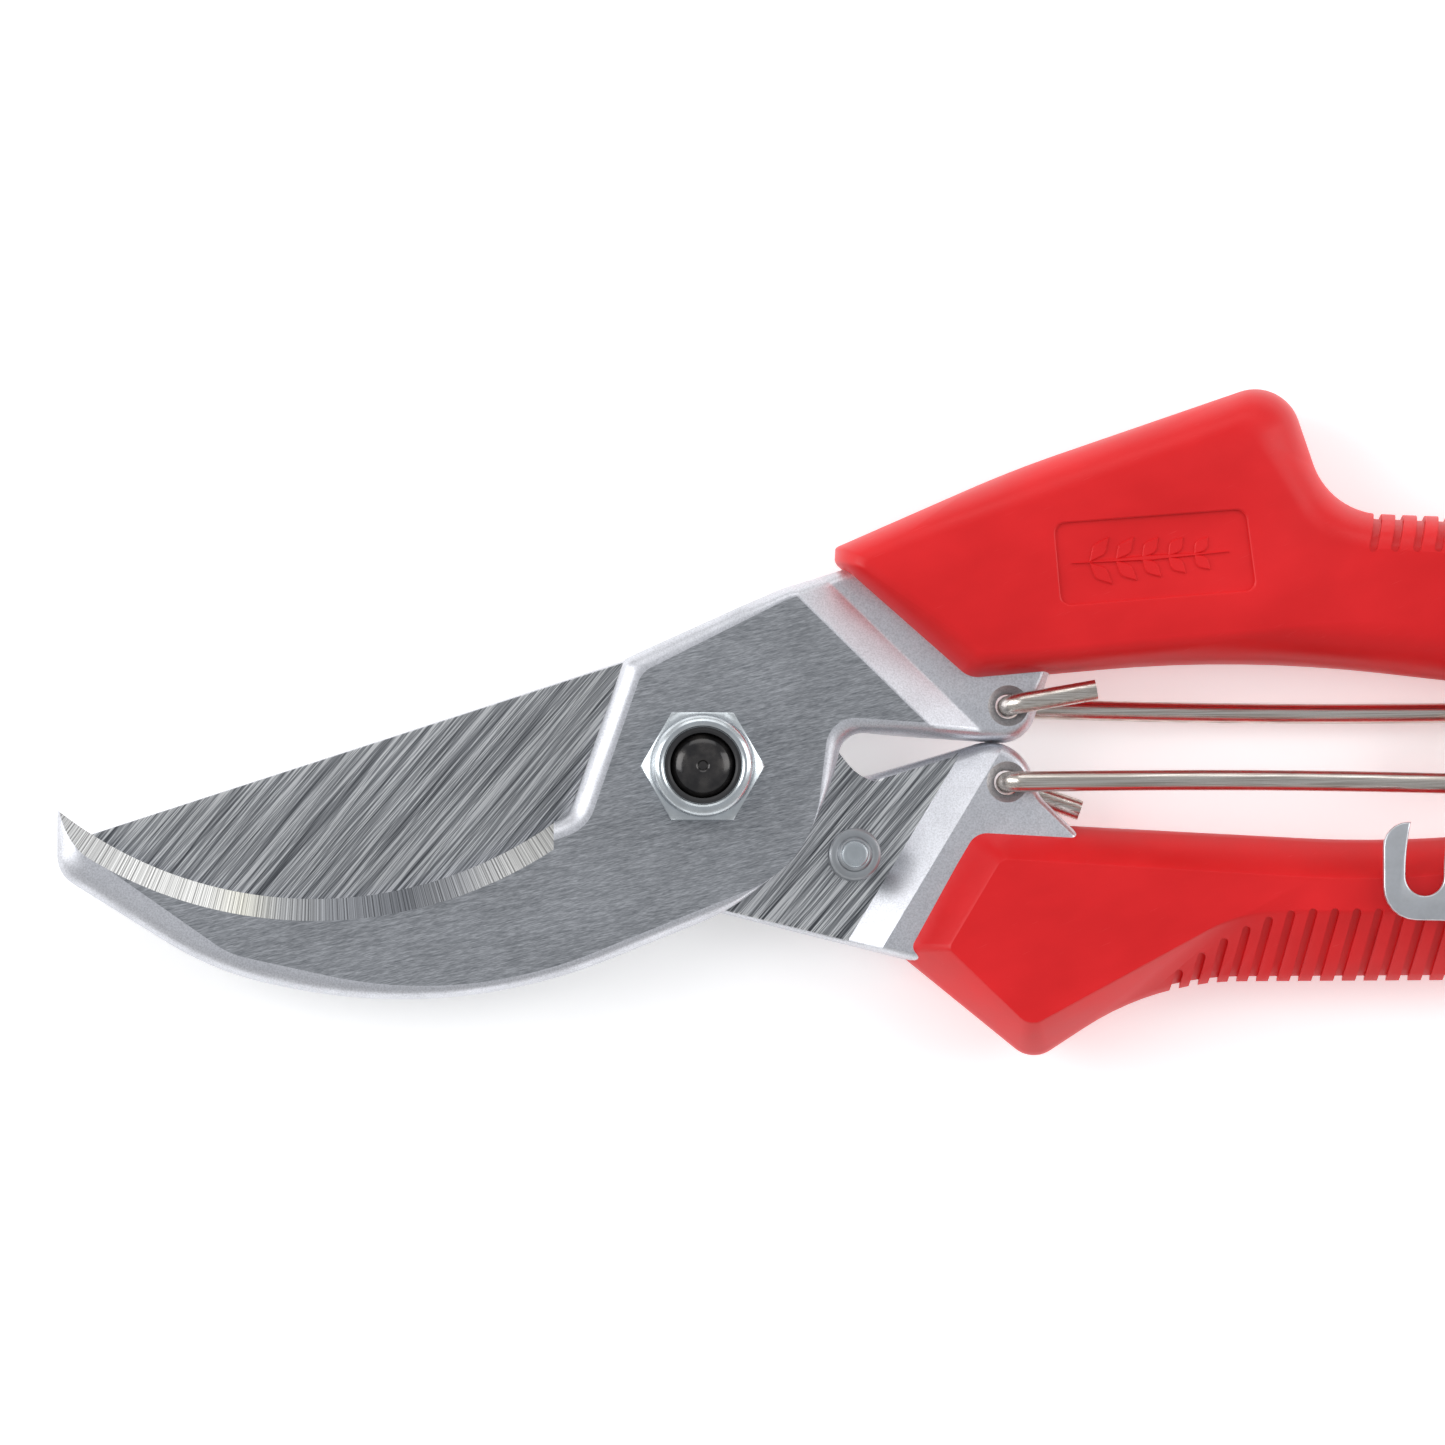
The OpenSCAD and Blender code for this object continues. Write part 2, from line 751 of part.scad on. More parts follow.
// The coil from turn angle a0 to a1, both clockwise from its top, walked the way of side
function coil_path(a0, a1, side) =
    let (steps = ceil(abs(a1 - a0) / 18))
    [for (k = [0:steps])
        let (a = a0 + (a1 - a0) * k / steps, way = flat(-a) * side)
        [[coil_at[0] + coil_r * sin(a), coil_at[1] + coil_r * cos(a), wire_back_z + coil_rise * a / 360],
            way, cross([0, 0, side], way)]];

module spring_upper_arm() {
    arm = arm_dir(upper_hole_at, 1);
    color([0.62, 0.57, 0.53])
        wire(concat(
            hook_path(upper_hole_at, 10, upper_stub_l, arm, 1),
            coil_path(-arm, coil_split, 1)
        ));
}

module spring_lower_arm() {
    arm = arm_dir(lower_hole_at, -1);
    color([0.62, 0.57, 0.53])
        wire(concat(
            hook_path(lower_hole_at, -19, lower_stub_l, arm, -1),
            coil_path(360 * coil_turns - arm, coil_split + coil_split_gap, -1)
        ));
}

hook_blade();
upper_grip();
pivot_bolt();
pivot_nut();
nut_insert();
thrust_washer();
keeper_stud();
keeper_washer();
cutting_blade();
lower_grip();
stop_bush();
stop_rivet();
catch_rivet();
catch_spacer();
catch_back_washer();
catch_plate();
spring_upper_arm();
spring_lower_arm();
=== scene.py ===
import math

import bmesh
import bpy
from mathutils import Matrix, Vector


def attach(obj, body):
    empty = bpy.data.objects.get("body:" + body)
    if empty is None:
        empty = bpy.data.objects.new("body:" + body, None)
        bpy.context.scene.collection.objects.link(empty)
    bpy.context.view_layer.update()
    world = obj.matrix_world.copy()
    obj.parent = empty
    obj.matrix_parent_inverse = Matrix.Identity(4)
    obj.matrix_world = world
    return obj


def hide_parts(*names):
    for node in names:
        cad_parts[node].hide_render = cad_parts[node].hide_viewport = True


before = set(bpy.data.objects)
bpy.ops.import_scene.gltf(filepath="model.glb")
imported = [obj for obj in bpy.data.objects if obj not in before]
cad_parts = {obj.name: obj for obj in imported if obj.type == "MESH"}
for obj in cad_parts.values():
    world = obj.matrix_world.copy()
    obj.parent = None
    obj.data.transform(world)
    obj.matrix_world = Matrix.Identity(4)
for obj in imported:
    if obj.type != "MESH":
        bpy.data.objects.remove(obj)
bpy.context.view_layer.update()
MM = 0.001


# ---- Camera, floor and studio light ------------------------------------------------------
# The shears lie on a white table under a long lens that leans a little to the lower left.
# Soft boxes stand on the left, on the right and beyond the far side of the table, and the flat
# steel mirrors a pale ceiling that is only a little darker straight above.
VIEW_CENTRE = Vector((2.5, 5.5, 12.0)) * MM
VIEW_WIDTH = 175.6 * MM
CAMERA_HEIGHT = 1.3
SENSOR = 36.0
FLOOR_HALF, FLOOR_DROP = 3.0, 0.2 * MM
# The name of each soft box, its place and size in metres, and its power in watts
SOFT_BOXES = [
    ("left_soft_box", (-1.5, 0.35, 0.95), (1.0, 1.6), 17),
    ("right_soft_box", (1.5, 0.35, 0.95), (1.0, 1.6), 12),
    ("top_soft_box", (0.0, 1.5, 1.0), (1.6, 0.8), 5),
]
# Height over the horizon, from 0 to 1, and the sky's colour there
CEILING_TONES = [(0.0, (1.0, 1.0, 1.0)), (0.55, (0.92, 0.93, 0.95)), (0.95, (0.82, 0.84, 0.88))]
CEILING_STRENGTH = 0.54

lens_side = Vector((-0.02, -0.045, 1.0)).normalized()
camera_data = bpy.data.cameras.new("camera")
camera_data.sensor_width = SENSOR
camera_data.lens = SENSOR * CAMERA_HEIGHT / VIEW_WIDTH
camera_data.clip_end = 20.0
camera = bpy.data.objects.new("camera", camera_data)
camera.location = VIEW_CENTRE + lens_side * CAMERA_HEIGHT
across = Vector((0, 1, 0)).cross(lens_side).normalized()
upright = Matrix((across, lens_side.cross(across), lens_side)).transposed()
camera.rotation_euler = upright.to_euler()
bpy.context.scene.collection.objects.link(camera)
bpy.context.scene.camera = camera
bpy.context.scene.view_settings.view_transform = "Standard"


def soft_box(name, place, size, power):
    """A rectangular lamp that faces the middle of the table"""
    lamp = bpy.data.lights.new(name, "AREA")
    lamp.shape = "RECTANGLE"
    lamp.size, lamp.size_y = size
    lamp.energy = power
    holder = bpy.data.objects.new(name, lamp)
    holder.location = place
    holder.rotation_euler = Vector(place).to_track_quat("Z", "Y").to_euler()
    bpy.context.scene.collection.objects.link(holder)


for box in SOFT_BOXES:
    soft_box(*box)

world = bpy.data.worlds.new("studio")
bpy.context.scene.world = world
world.use_nodes = True
sky = world.node_tree
where = sky.nodes.new("ShaderNodeTexCoord")
split = sky.nodes.new("ShaderNodeSeparateXYZ")
ceiling = sky.nodes.new("ShaderNodeValToRGB")
ceiling.color_ramp.elements.new(0.5)
for stop, (height, tone) in zip(ceiling.color_ramp.elements, CEILING_TONES):
    stop.position = height
    stop.color = (*tone, 1)
sky.links.new(where.outputs["Generated"], split.inputs[0])
sky.links.new(split.outputs["Z"], ceiling.inputs["Fac"])
sky.links.new(ceiling.outputs["Color"], sky.nodes["Background"].inputs["Color"])
sky.nodes["Background"].inputs["Strength"].default_value = CEILING_STRENGTH

floor_bm = bmesh.new()
bmesh.ops.create_grid(floor_bm, x_segments=1, y_segments=1, size=FLOOR_HALF)
floor_mesh = bpy.data.meshes.new("floor")
floor_bm.to_mesh(floor_mesh)
floor_bm.free()
floor = bpy.data.objects.new("floor", floor_mesh)
floor.location.z = -FLOOR_DROP
bpy.context.scene.collection.objects.link(floor)
paper = bpy.data.materials.new("white_paper")
paper.use_nodes = True
paper_shader = paper.node_tree.nodes["Principled BSDF"]
for socket, value in (
    ("Base Color", (0.95, 0.95, 0.95, 1)), ("Roughness", 0.9), ("Specular IOR Level", 0.1),
    ("Emission Color", (1, 1, 1, 1)), ("Emission Strength", 0.36),
):
    paper_shader.inputs[socket].default_value = value
floor.data.materials.append(paper)


# ---- Hook forging ------------------------------------------------------------------------
# A drop-forged steel half: a flat ground hook face, draft bands all round it, a bevel along
# the hollow of the hook, and a sandblasted tang that drops away to the grip.
HOOK_BACK, HOOK_FRONT = 7.5, 12.5
TANG_BACK, TANG_FRONT = 4.5, 10.5
MOUTH = Vector((-47.1, 34.45))
MOUTH_R = 50.4
MOUTH_BEVEL, MOUTH_BEVEL_DEPTH = 2.7, 1.5
TIP_X, NOSE_X = -78.0, -18.0
BORE_R = 4.05
BAND_DROP = 2.4
# Points closer than this, in metres, are welded into one
WELD, FINE_WELD = 1e-6, 1e-7
# The ramps to the tang: their direction, and where the back one and the front one start and end
HOOK_RAMP_TURN = math.radians(45.6)
BACK_RAMP, FRONT_RAMP = (17.3, 20.0), (22.97, 27.3)
# The corners of each outline, in order: x, y, the radius there and the steps round it
HOOK_EDGE = [
    (-78.3, -4.0, 0, 0), (-78.3, -12.9, 4, 6), (-59.0, -24.9, 40, 10), (-30.0, -30.8, 68, 22),
    (13.4, -13.3, 28, 16), (17.3, 4.55, 3, 10), (39.6, 3.1, 4.2, 12), (42.6, 12.2, 1.5, 4),
    (46.0, 15.8, 3, 4), (60.0, 17.2, 1, 2), (60.0, 38.0, 1, 2), (9.5, 21.9, 20, 8),
    (-9.4, 13.3, 1.2, 6), (-16.2, -5.9, 3.5, 8), (-20.5, -7.3, 0, 0),
]
HOOK_FLAT = [
    (-74.2, -8.6, 0, 0), (-74.5, -10.7, 1, 6), (-57.3, -22.7, 10, 10), (-29.0, -28.9, 55, 22),
    (13.3, -11.8, 14, 16), (15.5, 6.3, 3.6, 10), (38.5, 4.7, 3.2, 12), (41.4, 12.2, 1.2, 4),
    (45.4, 16.6, 3, 4), (60.0, 18.4, 1, 2), (60.0, 36.4, 1, 2), (10.2, 20.4, 6, 8),
    (-7.3, 11.6, 3, 6), (-13.9, -7.4, 5, 8), (-20.5, -9.8, 0, 0),
]


def outline(corners):
    """Points in mm round an outline of corners, each x, y, radius and steps round it"""
    points = []
    for i, (x, y, radius, steps) in enumerate(corners):
        here = Vector((x, y))
        if not steps:
            points.append(here)
            continue
        back = (Vector(corners[i - 1][:2]) - here).normalized()
        on = (Vector(corners[(i + 1) % len(corners)][:2]) - here).normalized()
        half = back.angle(on) / 2
        middle = here + (back + on).normalized() * radius / math.sin(half)
        start = here + back * radius / math.tan(half) - middle
        turn = math.copysign(math.pi - 2 * half, on.cross(back))
        points += [middle + Matrix.Rotation(turn * k / steps, 2) @ start for k in range(steps + 1)]
    return points


def level(points, z):
    """A ring of points in mm at height z"""
    return [Vector((p.x, p.y, z)) for p in points]


def between(a, b, share):
    """The outline that lies a share of the way from outline a to outline b"""
    return [p.lerp(q, share) for p, q in zip(a, b)]


def loft(rings):
    """A closed solid skinned over rings of the same number of points, from the back up"""
    bm = bmesh.new()
    loops = []
    for ring in rings:
        verts = [bm.verts.new(p * MM) for p in ring]
        loops.append([bm.edges.new((verts[i - 1], verts[i])) for i in range(len(verts))])
    for below, above in zip(loops, loops[1:]):
        bmesh.ops.bridge_loops(bm, edges=below + above)
    bmesh.ops.edgeloop_fill(bm, edges=loops[0])
    bmesh.ops.edgeloop_fill(bm, edges=loops[-1])
    bmesh.ops.recalc_face_normals(bm, faces=bm.faces)
    return bm


def made(name, bm):
    """Turns a bmesh into an object of that name"""
    mesh = bpy.data.meshes.new(name)
    bm.to_mesh(mesh)
    bm.free()
    piece = bpy.data.objects.new(name, mesh)
    bpy.context.scene.collection.objects.link(piece)
    return piece


def settled_mesh(piece):
    """A new mesh of the piece as its modifiers or its curve leave it"""
    return bpy.data.meshes.new_from_object(piece.evaluated_get(bpy.context.evaluated_depsgraph_get()))


def carve(piece, tool, how="DIFFERENCE"):
    """Cuts the tool out of the piece, joins it on, or keeps what both hold, and drops the tool"""
    step = piece.modifiers.new("carve", "BOOLEAN")
    step.object = tool
    step.operation = how
    step.solver = "EXACT"
    shape = settled_mesh(piece)
    piece.modifiers.clear()
    bpy.data.objects.remove(tool)
    bm = bmesh.new()
    bm.from_mesh(shape)
    bmesh.ops.remove_doubles(bm, verts=bm.verts, dist=WELD)
    bmesh.ops.dissolve_degenerate(bm, edges=bm.edges, dist=WELD)
    bm.to_mesh(shape)
    bm.free()
    piece.data = shape


def turned(name, profile, place=(0, 0), steps=96):
    """A lathe-turned solid about Z at place. The profile is (radius, z) points in mm"""
    bm = bmesh.new()
    verts = [bm.verts.new((r * MM, 0, z * MM)) for r, z in profile]
    edges = [bm.edges.new(pair) for pair in zip(verts, verts[1:])]
    if profile[0][0] > 0:
        edges.append(bm.edges.new((verts[-1], verts[0])))
    bmesh.ops.spin(
        bm, geom=verts + edges, cent=(0, 0, 0), axis=(0, 0, 1), angle=math.tau, steps=steps,
        use_merge=True,
    )
    bmesh.ops.remove_doubles(bm, verts=bm.verts, dist=WELD)
    bmesh.ops.translate(bm, verts=bm.verts, vec=Vector((place[0], place[1], 0)) * MM)
    bmesh.ops.recalc_face_normals(bm, faces=bm.faces)
    return made(name, bm)


def bore_cut():
    """A cutter for the bolt's hole, right through a forging at the pivot"""
    return turned("bore_cut", [(0, 0), (BORE_R, 0), (BORE_R, 20), (0, 20)])


def eased(u, start, end):
    """0 up to start, 1 from end, with short rounded knees between"""
    t = min(max((u - start) / (end - start), 0.0), 1.0)
    knee = 0.08
    if t < knee:
        return t * t / (2 * knee * (1 - knee))
    if t > 1 - knee:
        return 1 - (1 - t) ** 2 / (2 * knee * (1 - knee))
    return (t - knee / 2) / (1 - knee)


def shear_levels(bm, turn, cuts, back, front, heights):
    """Slices the solid square to a direction and sets its back and front to heights(u)"""
    aim = Vector((math.cos(turn), math.sin(turn), 0))
    for u in cuts:
        geometry = list(bm.verts) + list(bm.edges) + list(bm.faces)
        bmesh.ops.bisect_plane(bm, geom=geometry, dist=FINE_WELD, plane_co=aim * u * MM, plane_no=aim)
    for v in bm.verts:
        share = (v.co.z / MM - back) / (front - back)
        low, high = heights(v.co.dot(aim) / MM)
        v.co.z = (low + share * (high - low)) * MM


def smooth_by_angle(piece, degrees):
    """Smooth shading, with a crisp edge wherever two faces meet at more than that angle"""
    piece.data.shade_smooth()
    piece.data.set_sharp_from_angle(angle=math.radians(degrees))


def new_finish(name, colour, rough, metal=1.0):
    """A material with its shader and node tree"""
    finish = bpy.data.materials.new(name)
    finish.use_nodes = True
    shader = finish.node_tree.nodes["Principled BSDF"]
    shader.inputs["Base Color"].default_value = (*colour, 1)
    shader.inputs["Roughness"].default_value = rough
    shader.inputs["Metallic"].default_value = metal
    return finish, finish.node_tree, shader


def grain(tree, turn, size, detail):
    """Noise drawn out to size (along, across, deep) in mm, turned by an angle in degrees"""
    where = tree.nodes.new("ShaderNodeTexCoord")
    place = tree.nodes.new("ShaderNodeMapping")
    place.vector_type = "TEXTURE"
    place.inputs["Rotation"].default_value[2] = math.radians(turn)
    place.inputs["Scale"].default_value = Vector(size) * MM
    field = tree.nodes.new("ShaderNodeTexNoise")
    field.inputs["Scale"].default_value = 1.0
    field.inputs["Detail"].default_value = detail
    tree.links.new(where.outputs["Object"], place.inputs["Vector"])
    tree.links.new(place.outputs["Vector"], field.inputs["Vector"])
    return field.outputs["Fac"]


def ramp(tree, value, stops):
    """Colour or grey stops, each (position, grey or colour), along a value"""
    made_ramp = tree.nodes.new("ShaderNodeValToRGB")
    elements = made_ramp.color_ramp.elements
    while len(elements) < len(stops):
        elements.new(0.5)
    for element, (position, tone) in zip(elements, stops):
        element.position = position
        element.color = (*tone, 1) if hasattr(tone, "__len__") else (tone, tone, tone, 1)
    tree.links.new(value, made_ramp.inputs["Fac"])
    return made_ramp.outputs["Color"]


def mixed(tree, a, b, share, blend="MIX"):
    """Colour a blended with colour b"""
    mix = tree.nodes.new("ShaderNodeMix")
    mix.data_type = "RGBA"
    mix.blend_type = blend
    sockets = [s for s in mix.inputs if s.enabled]
    for socket, value in zip(sockets, (share, a, b)):
        if isinstance(value, bpy.types.NodeSocket):
            tree.links.new(value, socket)
        elif hasattr(value, "__len__"):
            socket.default_value = (*value, 1)
        else:
            socket.default_value = value
    return [s for s in mix.outputs if s.enabled][0]


def bumped(tree, shader, height, depth_mm, strength):
    """Bump on the shader from a height field"""
    bump = tree.nodes.new("ShaderNodeBump")
    bump.inputs["Strength"].default_value = strength
    bump.inputs["Distance"].default_value = depth_mm * MM
    tree.links.new(height, bump.inputs["Height"])
    tree.links.new(bump.outputs["Normal"], shader.inputs["Normal"])


def hook_ground_steel():
    """Surface-ground steel with fine short grain that runs nearly along the shears"""
    finish, tree, shader = new_finish("hook_ground_steel", (0.55, 0.56, 0.58), 0.36)
    fine = grain(tree, 14, (0.8, 0.09, 1), 3)
    coarse = grain(tree, 11, (2.6, 0.22, 1), 2)
    clouds = grain(tree, 0, (9, 9, 9), 2)
    both = mixed(tree, fine, coarse, 0.35)
    tone = ramp(tree, both, [
        (0.34, (0.24, 0.255, 0.275)), (0.5, (0.43, 0.445, 0.47)), (0.66, (0.70, 0.72, 0.75)),
    ])
    tint = ramp(tree, clouds, [(0.3, 0.84), (0.7, 1.0)])
    tree.links.new(mixed(tree, tone, tint, 1.0, "MULTIPLY"), shader.inputs["Base Color"])
    tree.links.new(ramp(tree, both, [(0.3, 0.5), (0.7, 0.32)]), shader.inputs["Roughness"])
    bumped(tree, shader, both, 0.012, 0.5)
    return finish


def mouth_steel():
    """The honed bevel along the hollow, whose fine grinding lines run across it"""
    finish, tree, shader = new_finish("mouth_steel", (0.8, 0.8, 0.79), 0.3)
    where = tree.nodes.new("ShaderNodeTexCoord")
    away = tree.nodes.new("ShaderNodeVectorMath")
    away.operation = "SUBTRACT"
    away.inputs[1].default_value = (MOUTH.x * MM, MOUTH.y * MM, 0)
    parts = tree.nodes.new("ShaderNodeSeparateXYZ")
    angle = tree.nodes.new("ShaderNodeMath")
    angle.operation = "ARCTAN2"
    tree.links.new(where.outputs["Object"], away.inputs[0])
    tree.links.new(away.outputs["Vector"], parts.inputs[0])
    tree.links.new(parts.outputs["X"], angle.inputs[0])
    tree.links.new(parts.outputs["Y"], angle.inputs[1])
    fields = []
    for turns, detail in ((260.0, 4.0), (5.0, 1.0)):
        lines = tree.nodes.new("ShaderNodeTexNoise")
        lines.noise_dimensions = "1D"
        lines.inputs["Scale"].default_value = turns
        lines.inputs["Detail"].default_value = detail
        tree.links.new(angle.outputs[0], lines.inputs["W"])
        fields.append(lines.outputs["Fac"])
    tone = ramp(tree, fields[0], [(0.36, 0.30), (0.52, 0.74), (0.66, 1.0)])
    # Darker in the middle of the hollow and lighter towards the tip and the nose
    along = tree.nodes.new("ShaderNodeMapRange")
    along.inputs["From Min"].default_value = TIP_X * MM
    along.inputs["From Max"].default_value = NOSE_X * MM
    here = tree.nodes.new("ShaderNodeSeparateXYZ")
    tree.links.new(where.outputs["Object"], here.inputs[0])
    tree.links.new(here.outputs["X"], along.inputs["Value"])
    tone_along_hollow = ramp(tree, along.outputs["Result"], [
        (0.0, (0.80, 0.80, 0.80)), (0.30, (0.88, 0.88, 0.86)), (0.37, (0.74, 0.73, 0.66)),
        (0.45, (0.52, 0.53, 0.54)), (0.55, (0.27, 0.28, 0.30)), (0.70, (0.20, 0.21, 0.23)),
        (0.80, (0.36, 0.37, 0.39)), (0.93, (0.72, 0.72, 0.71)), (1.0, (0.86, 0.86, 0.84)),
    ])
    patches = ramp(tree, fields[1], [(0.35, 0.82), (0.6, 1.0)])
    lined = mixed(tree, tone, patches, 1.0, "MULTIPLY")
    tree.links.new(mixed(tree, lined, tone_along_hollow, 1.0, "MULTIPLY"), shader.inputs["Base Color"])
    bumped(tree, shader, fields[0], 0.01, 0.4)
    return finish


def blasted_steel(name="blasted_steel", tone=(0.72, 0.73, 0.77)):
    """Sandblasted and chrome-flashed forging skin with a fine even tooth"""
    finish, tree, shader = new_finish(name, tone, 0.42)
    tooth = grain(tree, 0, (0.2, 0.2, 0.2), 4)
    clouds = grain(tree, 20, (5, 5, 5), 3)
    pit, peak = [c * 0.84 for c in tone], [min(1, c * 1.12) for c in tone]
    speck = ramp(tree, tooth, [(0.34, pit), (0.52, tone), (0.68, peak)])
    tint = ramp(tree, clouds, [(0.3, 0.9), (0.65, 1.0)])
    tree.links.new(mixed(tree, speck, tint, 1.0, "MULTIPLY"), shader.inputs["Base Color"])
    tree.links.new(ramp(tree, clouds, [(0.3, 0.5), (0.7, 0.36)]), shader.inputs["Roughness"])
    bumped(tree, shader, tooth, 0.03, 0.5)
    return finish


def drop_of(share, drop):
    """How far a rounded draft band has dropped, a share of the way out"""
    return drop * (1 - math.sqrt(max(0.0, 1 - share ** 2.2)))


def hook_heights(u):
    """The hook's back and front in mm, at a distance u from the pivot down the ramps"""
    back = HOOK_BACK + (TANG_BACK - HOOK_BACK) * eased(u, *BACK_RAMP)
    front = HOOK_FRONT + (TANG_FRONT - HOOK_FRONT) * eased(u, *FRONT_RAMP)
    return back, front


hook_edge, hook_flat = outline(HOOK_EDGE), outline(HOOK_FLAT)
hook_rings = [level(between(hook_edge, hook_flat, 0.25), HOOK_BACK), level(hook_edge, HOOK_BACK + 0.5)]
for out in (1.0, 0.96, 0.88, 0.76, 0.6, 0.4, 0.2, 0.0):
    hook_rings.append(level(between(hook_flat, hook_edge, out), HOOK_FRONT - drop_of(out, BAND_DROP)))
hook_bm = loft(hook_rings)
# Slices at both ends of each ramp and on its rounded knees
hook_cuts = (BACK_RAMP[0], 17.6, 19.7, BACK_RAMP[1], FRONT_RAMP[0], 23.15, 23.35, 26.9, 27.1, FRONT_RAMP[1])
shear_levels(hook_bm, HOOK_RAMP_TURN, hook_cuts, HOOK_BACK, HOOK_FRONT, hook_heights)
hook = made("hook_forging", hook_bm)
mouth_cut = turned("mouth_cut", [
    (0, 0), (MOUTH_R, 0), (MOUTH_R, HOOK_FRONT - MOUTH_BEVEL_DEPTH), (MOUTH_R + MOUTH_BEVEL, HOOK_FRONT),
    (MOUTH_R + 2 * MOUTH_BEVEL, HOOK_FRONT + MOUTH_BEVEL_DEPTH), (0, HOOK_FRONT + MOUTH_BEVEL_DEPTH),
], MOUTH, 360)
# The hollow ends at the nose, so a block takes away what its cutter has beyond that
BLOCK_SIDE = 100
beyond_bm = bmesh.new()
block_at = Matrix.Translation(Vector((NOSE_X + BLOCK_SIDE / 2, 0, 0)) * MM)
bmesh.ops.create_cube(beyond_bm, size=1.0, matrix=block_at @ Matrix.Scale(BLOCK_SIDE * MM, 4))
carve(mouth_cut, made("beyond_nose", beyond_bm))
carve(hook, mouth_cut)
carve(hook, bore_cut())
UPPER_HOLE, SPRING_HOLE_R = (37.35, 7.64), 1.55
# A hole for an end of the spring, countersunk on both sides of the tang
SPRING_SINK = [
    (0, TANG_BACK - 0.5), (3.0, TANG_BACK - 0.5), (SPRING_HOLE_R, TANG_BACK + 0.95),
    (SPRING_HOLE_R, TANG_FRONT - 0.95), (2.6, TANG_FRONT + 0.1), (2.6, TANG_FRONT + 1),
    (0, TANG_FRONT + 1),
]
carve(hook, turned("upper_hole_cut", SPRING_SINK, UPPER_HOLE, 48))
smooth_by_angle(hook, 24)
for finish in (hook_ground_steel(), mouth_steel(), blasted_steel()):
    hook.data.materials.append(finish)
GROUND, HONED, BLASTED = 0, 1, 2
for face in hook.data.polygons:
    middle = face.center / MM
    outward = (middle.xy - MOUTH).length - MOUTH_R
    front_face = face.normal.z > 0.9995 and middle.z > HOOK_FRONT - 0.05
    back_face = face.normal.z < -0.9995 and middle.z > HOOK_BACK - 0.1
    near_mouth = -0.3 < outward < MOUTH_BEVEL + 0.3 and middle.x < NOSE_X
    faces_mouth = (middle.xy - MOUTH).normalized().dot(face.normal.xy) < -0.3
    if front_face or back_face:
        face.material_index = GROUND
    elif near_mouth and faces_mouth and 0.3 < face.normal.z < 0.97:
        face.material_index = HONED
    else:
        face.material_index = BLASTED
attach(hook, "hook_half")
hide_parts("hook_blade")


# ---- Cutting blade -----------------------------------------------------------------------
# A forged and cross-ground blade with an arched edge and a bevel behind it. Its tang rises
# from the ground face over a concave run-out, a sharp ridge and a sandblasted ramp.
BLADE_BACK, BLADE_FRONT = 3.8, 7.45
BLADE_RAMP_TURN = math.radians(-31)
RUN_OUT_AT, RUN_OUT_L = 23.4, 2.7
RIDGE_AT, RIDGE_RISE = 26.1, 0.22
RAMP_L = 4.0
BLADE_BAND_DROP = 1.2
EDGE_AT, EDGE_R = (-46.4, 24.3), 44.9
EDGE_STEPS, EDGE_TRIM = 48, 0.985
EDGE_BEVEL, EDGE_LAND = 8, 0.35
# Corners as on the hook. The cutting edge runs between the first corner and the second
BLADE_EDGE = [
    (-76.3, -8.6, 0.3, 2), (-16.5, -9.6, 3, 4), (-9.0, -14.6, 6, 6), (27.0, -23.7, 1.5, 6),
    (39.0, -29.2, 3, 4), (60.0, -22.0, 2, 3), (60.0, -13.0, 2, 3), (47.0, -11.6, 1, 4),
    (45.9, -7.9, 0.4, 4), (41.2, -3.3, 4, 8), (38.6, 4.62, 5.6, 12), (17.5, -1.55, 3, 8),
    (15.2, 5.0, 3, 6), (8.0, 13.6, 8, 8), (-9.3, 13.3, 2, 4),
]
BLADE_FLAT = [
    (-75.6, -8.5, 0.3, 2), (-16.8, -9.3, 3, 4), (-9.0, -14.0, 6, 6), (26.0, -22.3, 1.5, 6),
    (38.0, -27.6, 3, 4), (59.0, -21.0, 2, 3), (59.0, -14.0, 2, 3), (46.0, -12.6, 1, 4),
    (44.9, -8.2, 0.4, 4), (40.4, -3.8, 4, 8), (37.4, 2.9, 4.6, 12), (20.6, -2.6, 6, 8),
    (14.6, 4.6, 3, 6), (7.8, 13.2, 8, 8), (-9.3, 13.0, 2, 4),
]


def arc_corner(centre, radius, start_x, end_x):
    """Where the tangents to the lower arc of a circle meet"""
    turns = [math.asin((x - centre[0]) / radius) for x in (start_x, end_x)]
    middle, half = sum(turns) / 2, (turns[1] - turns[0]) / 2
    reach = radius / math.cos(half)
    return centre[0] + reach * math.sin(middle), centre[1] - reach * math.cos(middle)


def blade_heights(u):
    """The blade's back and front in mm, at a distance u from the pivot up the ramp"""
    run_out = RIDGE_RISE * min(max((u - RUN_OUT_AT) / RUN_OUT_L, 0.0), 1.0) ** 2
    rise = max(0.0, min((u - RIDGE_AT) / RAMP_L, 1.0))
    back = BLADE_BACK + (TANG_BACK - BLADE_BACK) * rise
    return back, BLADE_FRONT + run_out + (TANG_FRONT - BLADE_FRONT - RIDGE_RISE) * rise


def with_edge_arc(corners, radius):
    """The outline with its cutting edge as an arc of nearly that radius, clear of both corners"""
    x, y = arc_corner(EDGE_AT, radius, corners[0][0], corners[1][0])
    return outline([corners[0], (x, y, radius * EDGE_TRIM, EDGE_STEPS)] + corners[1:])


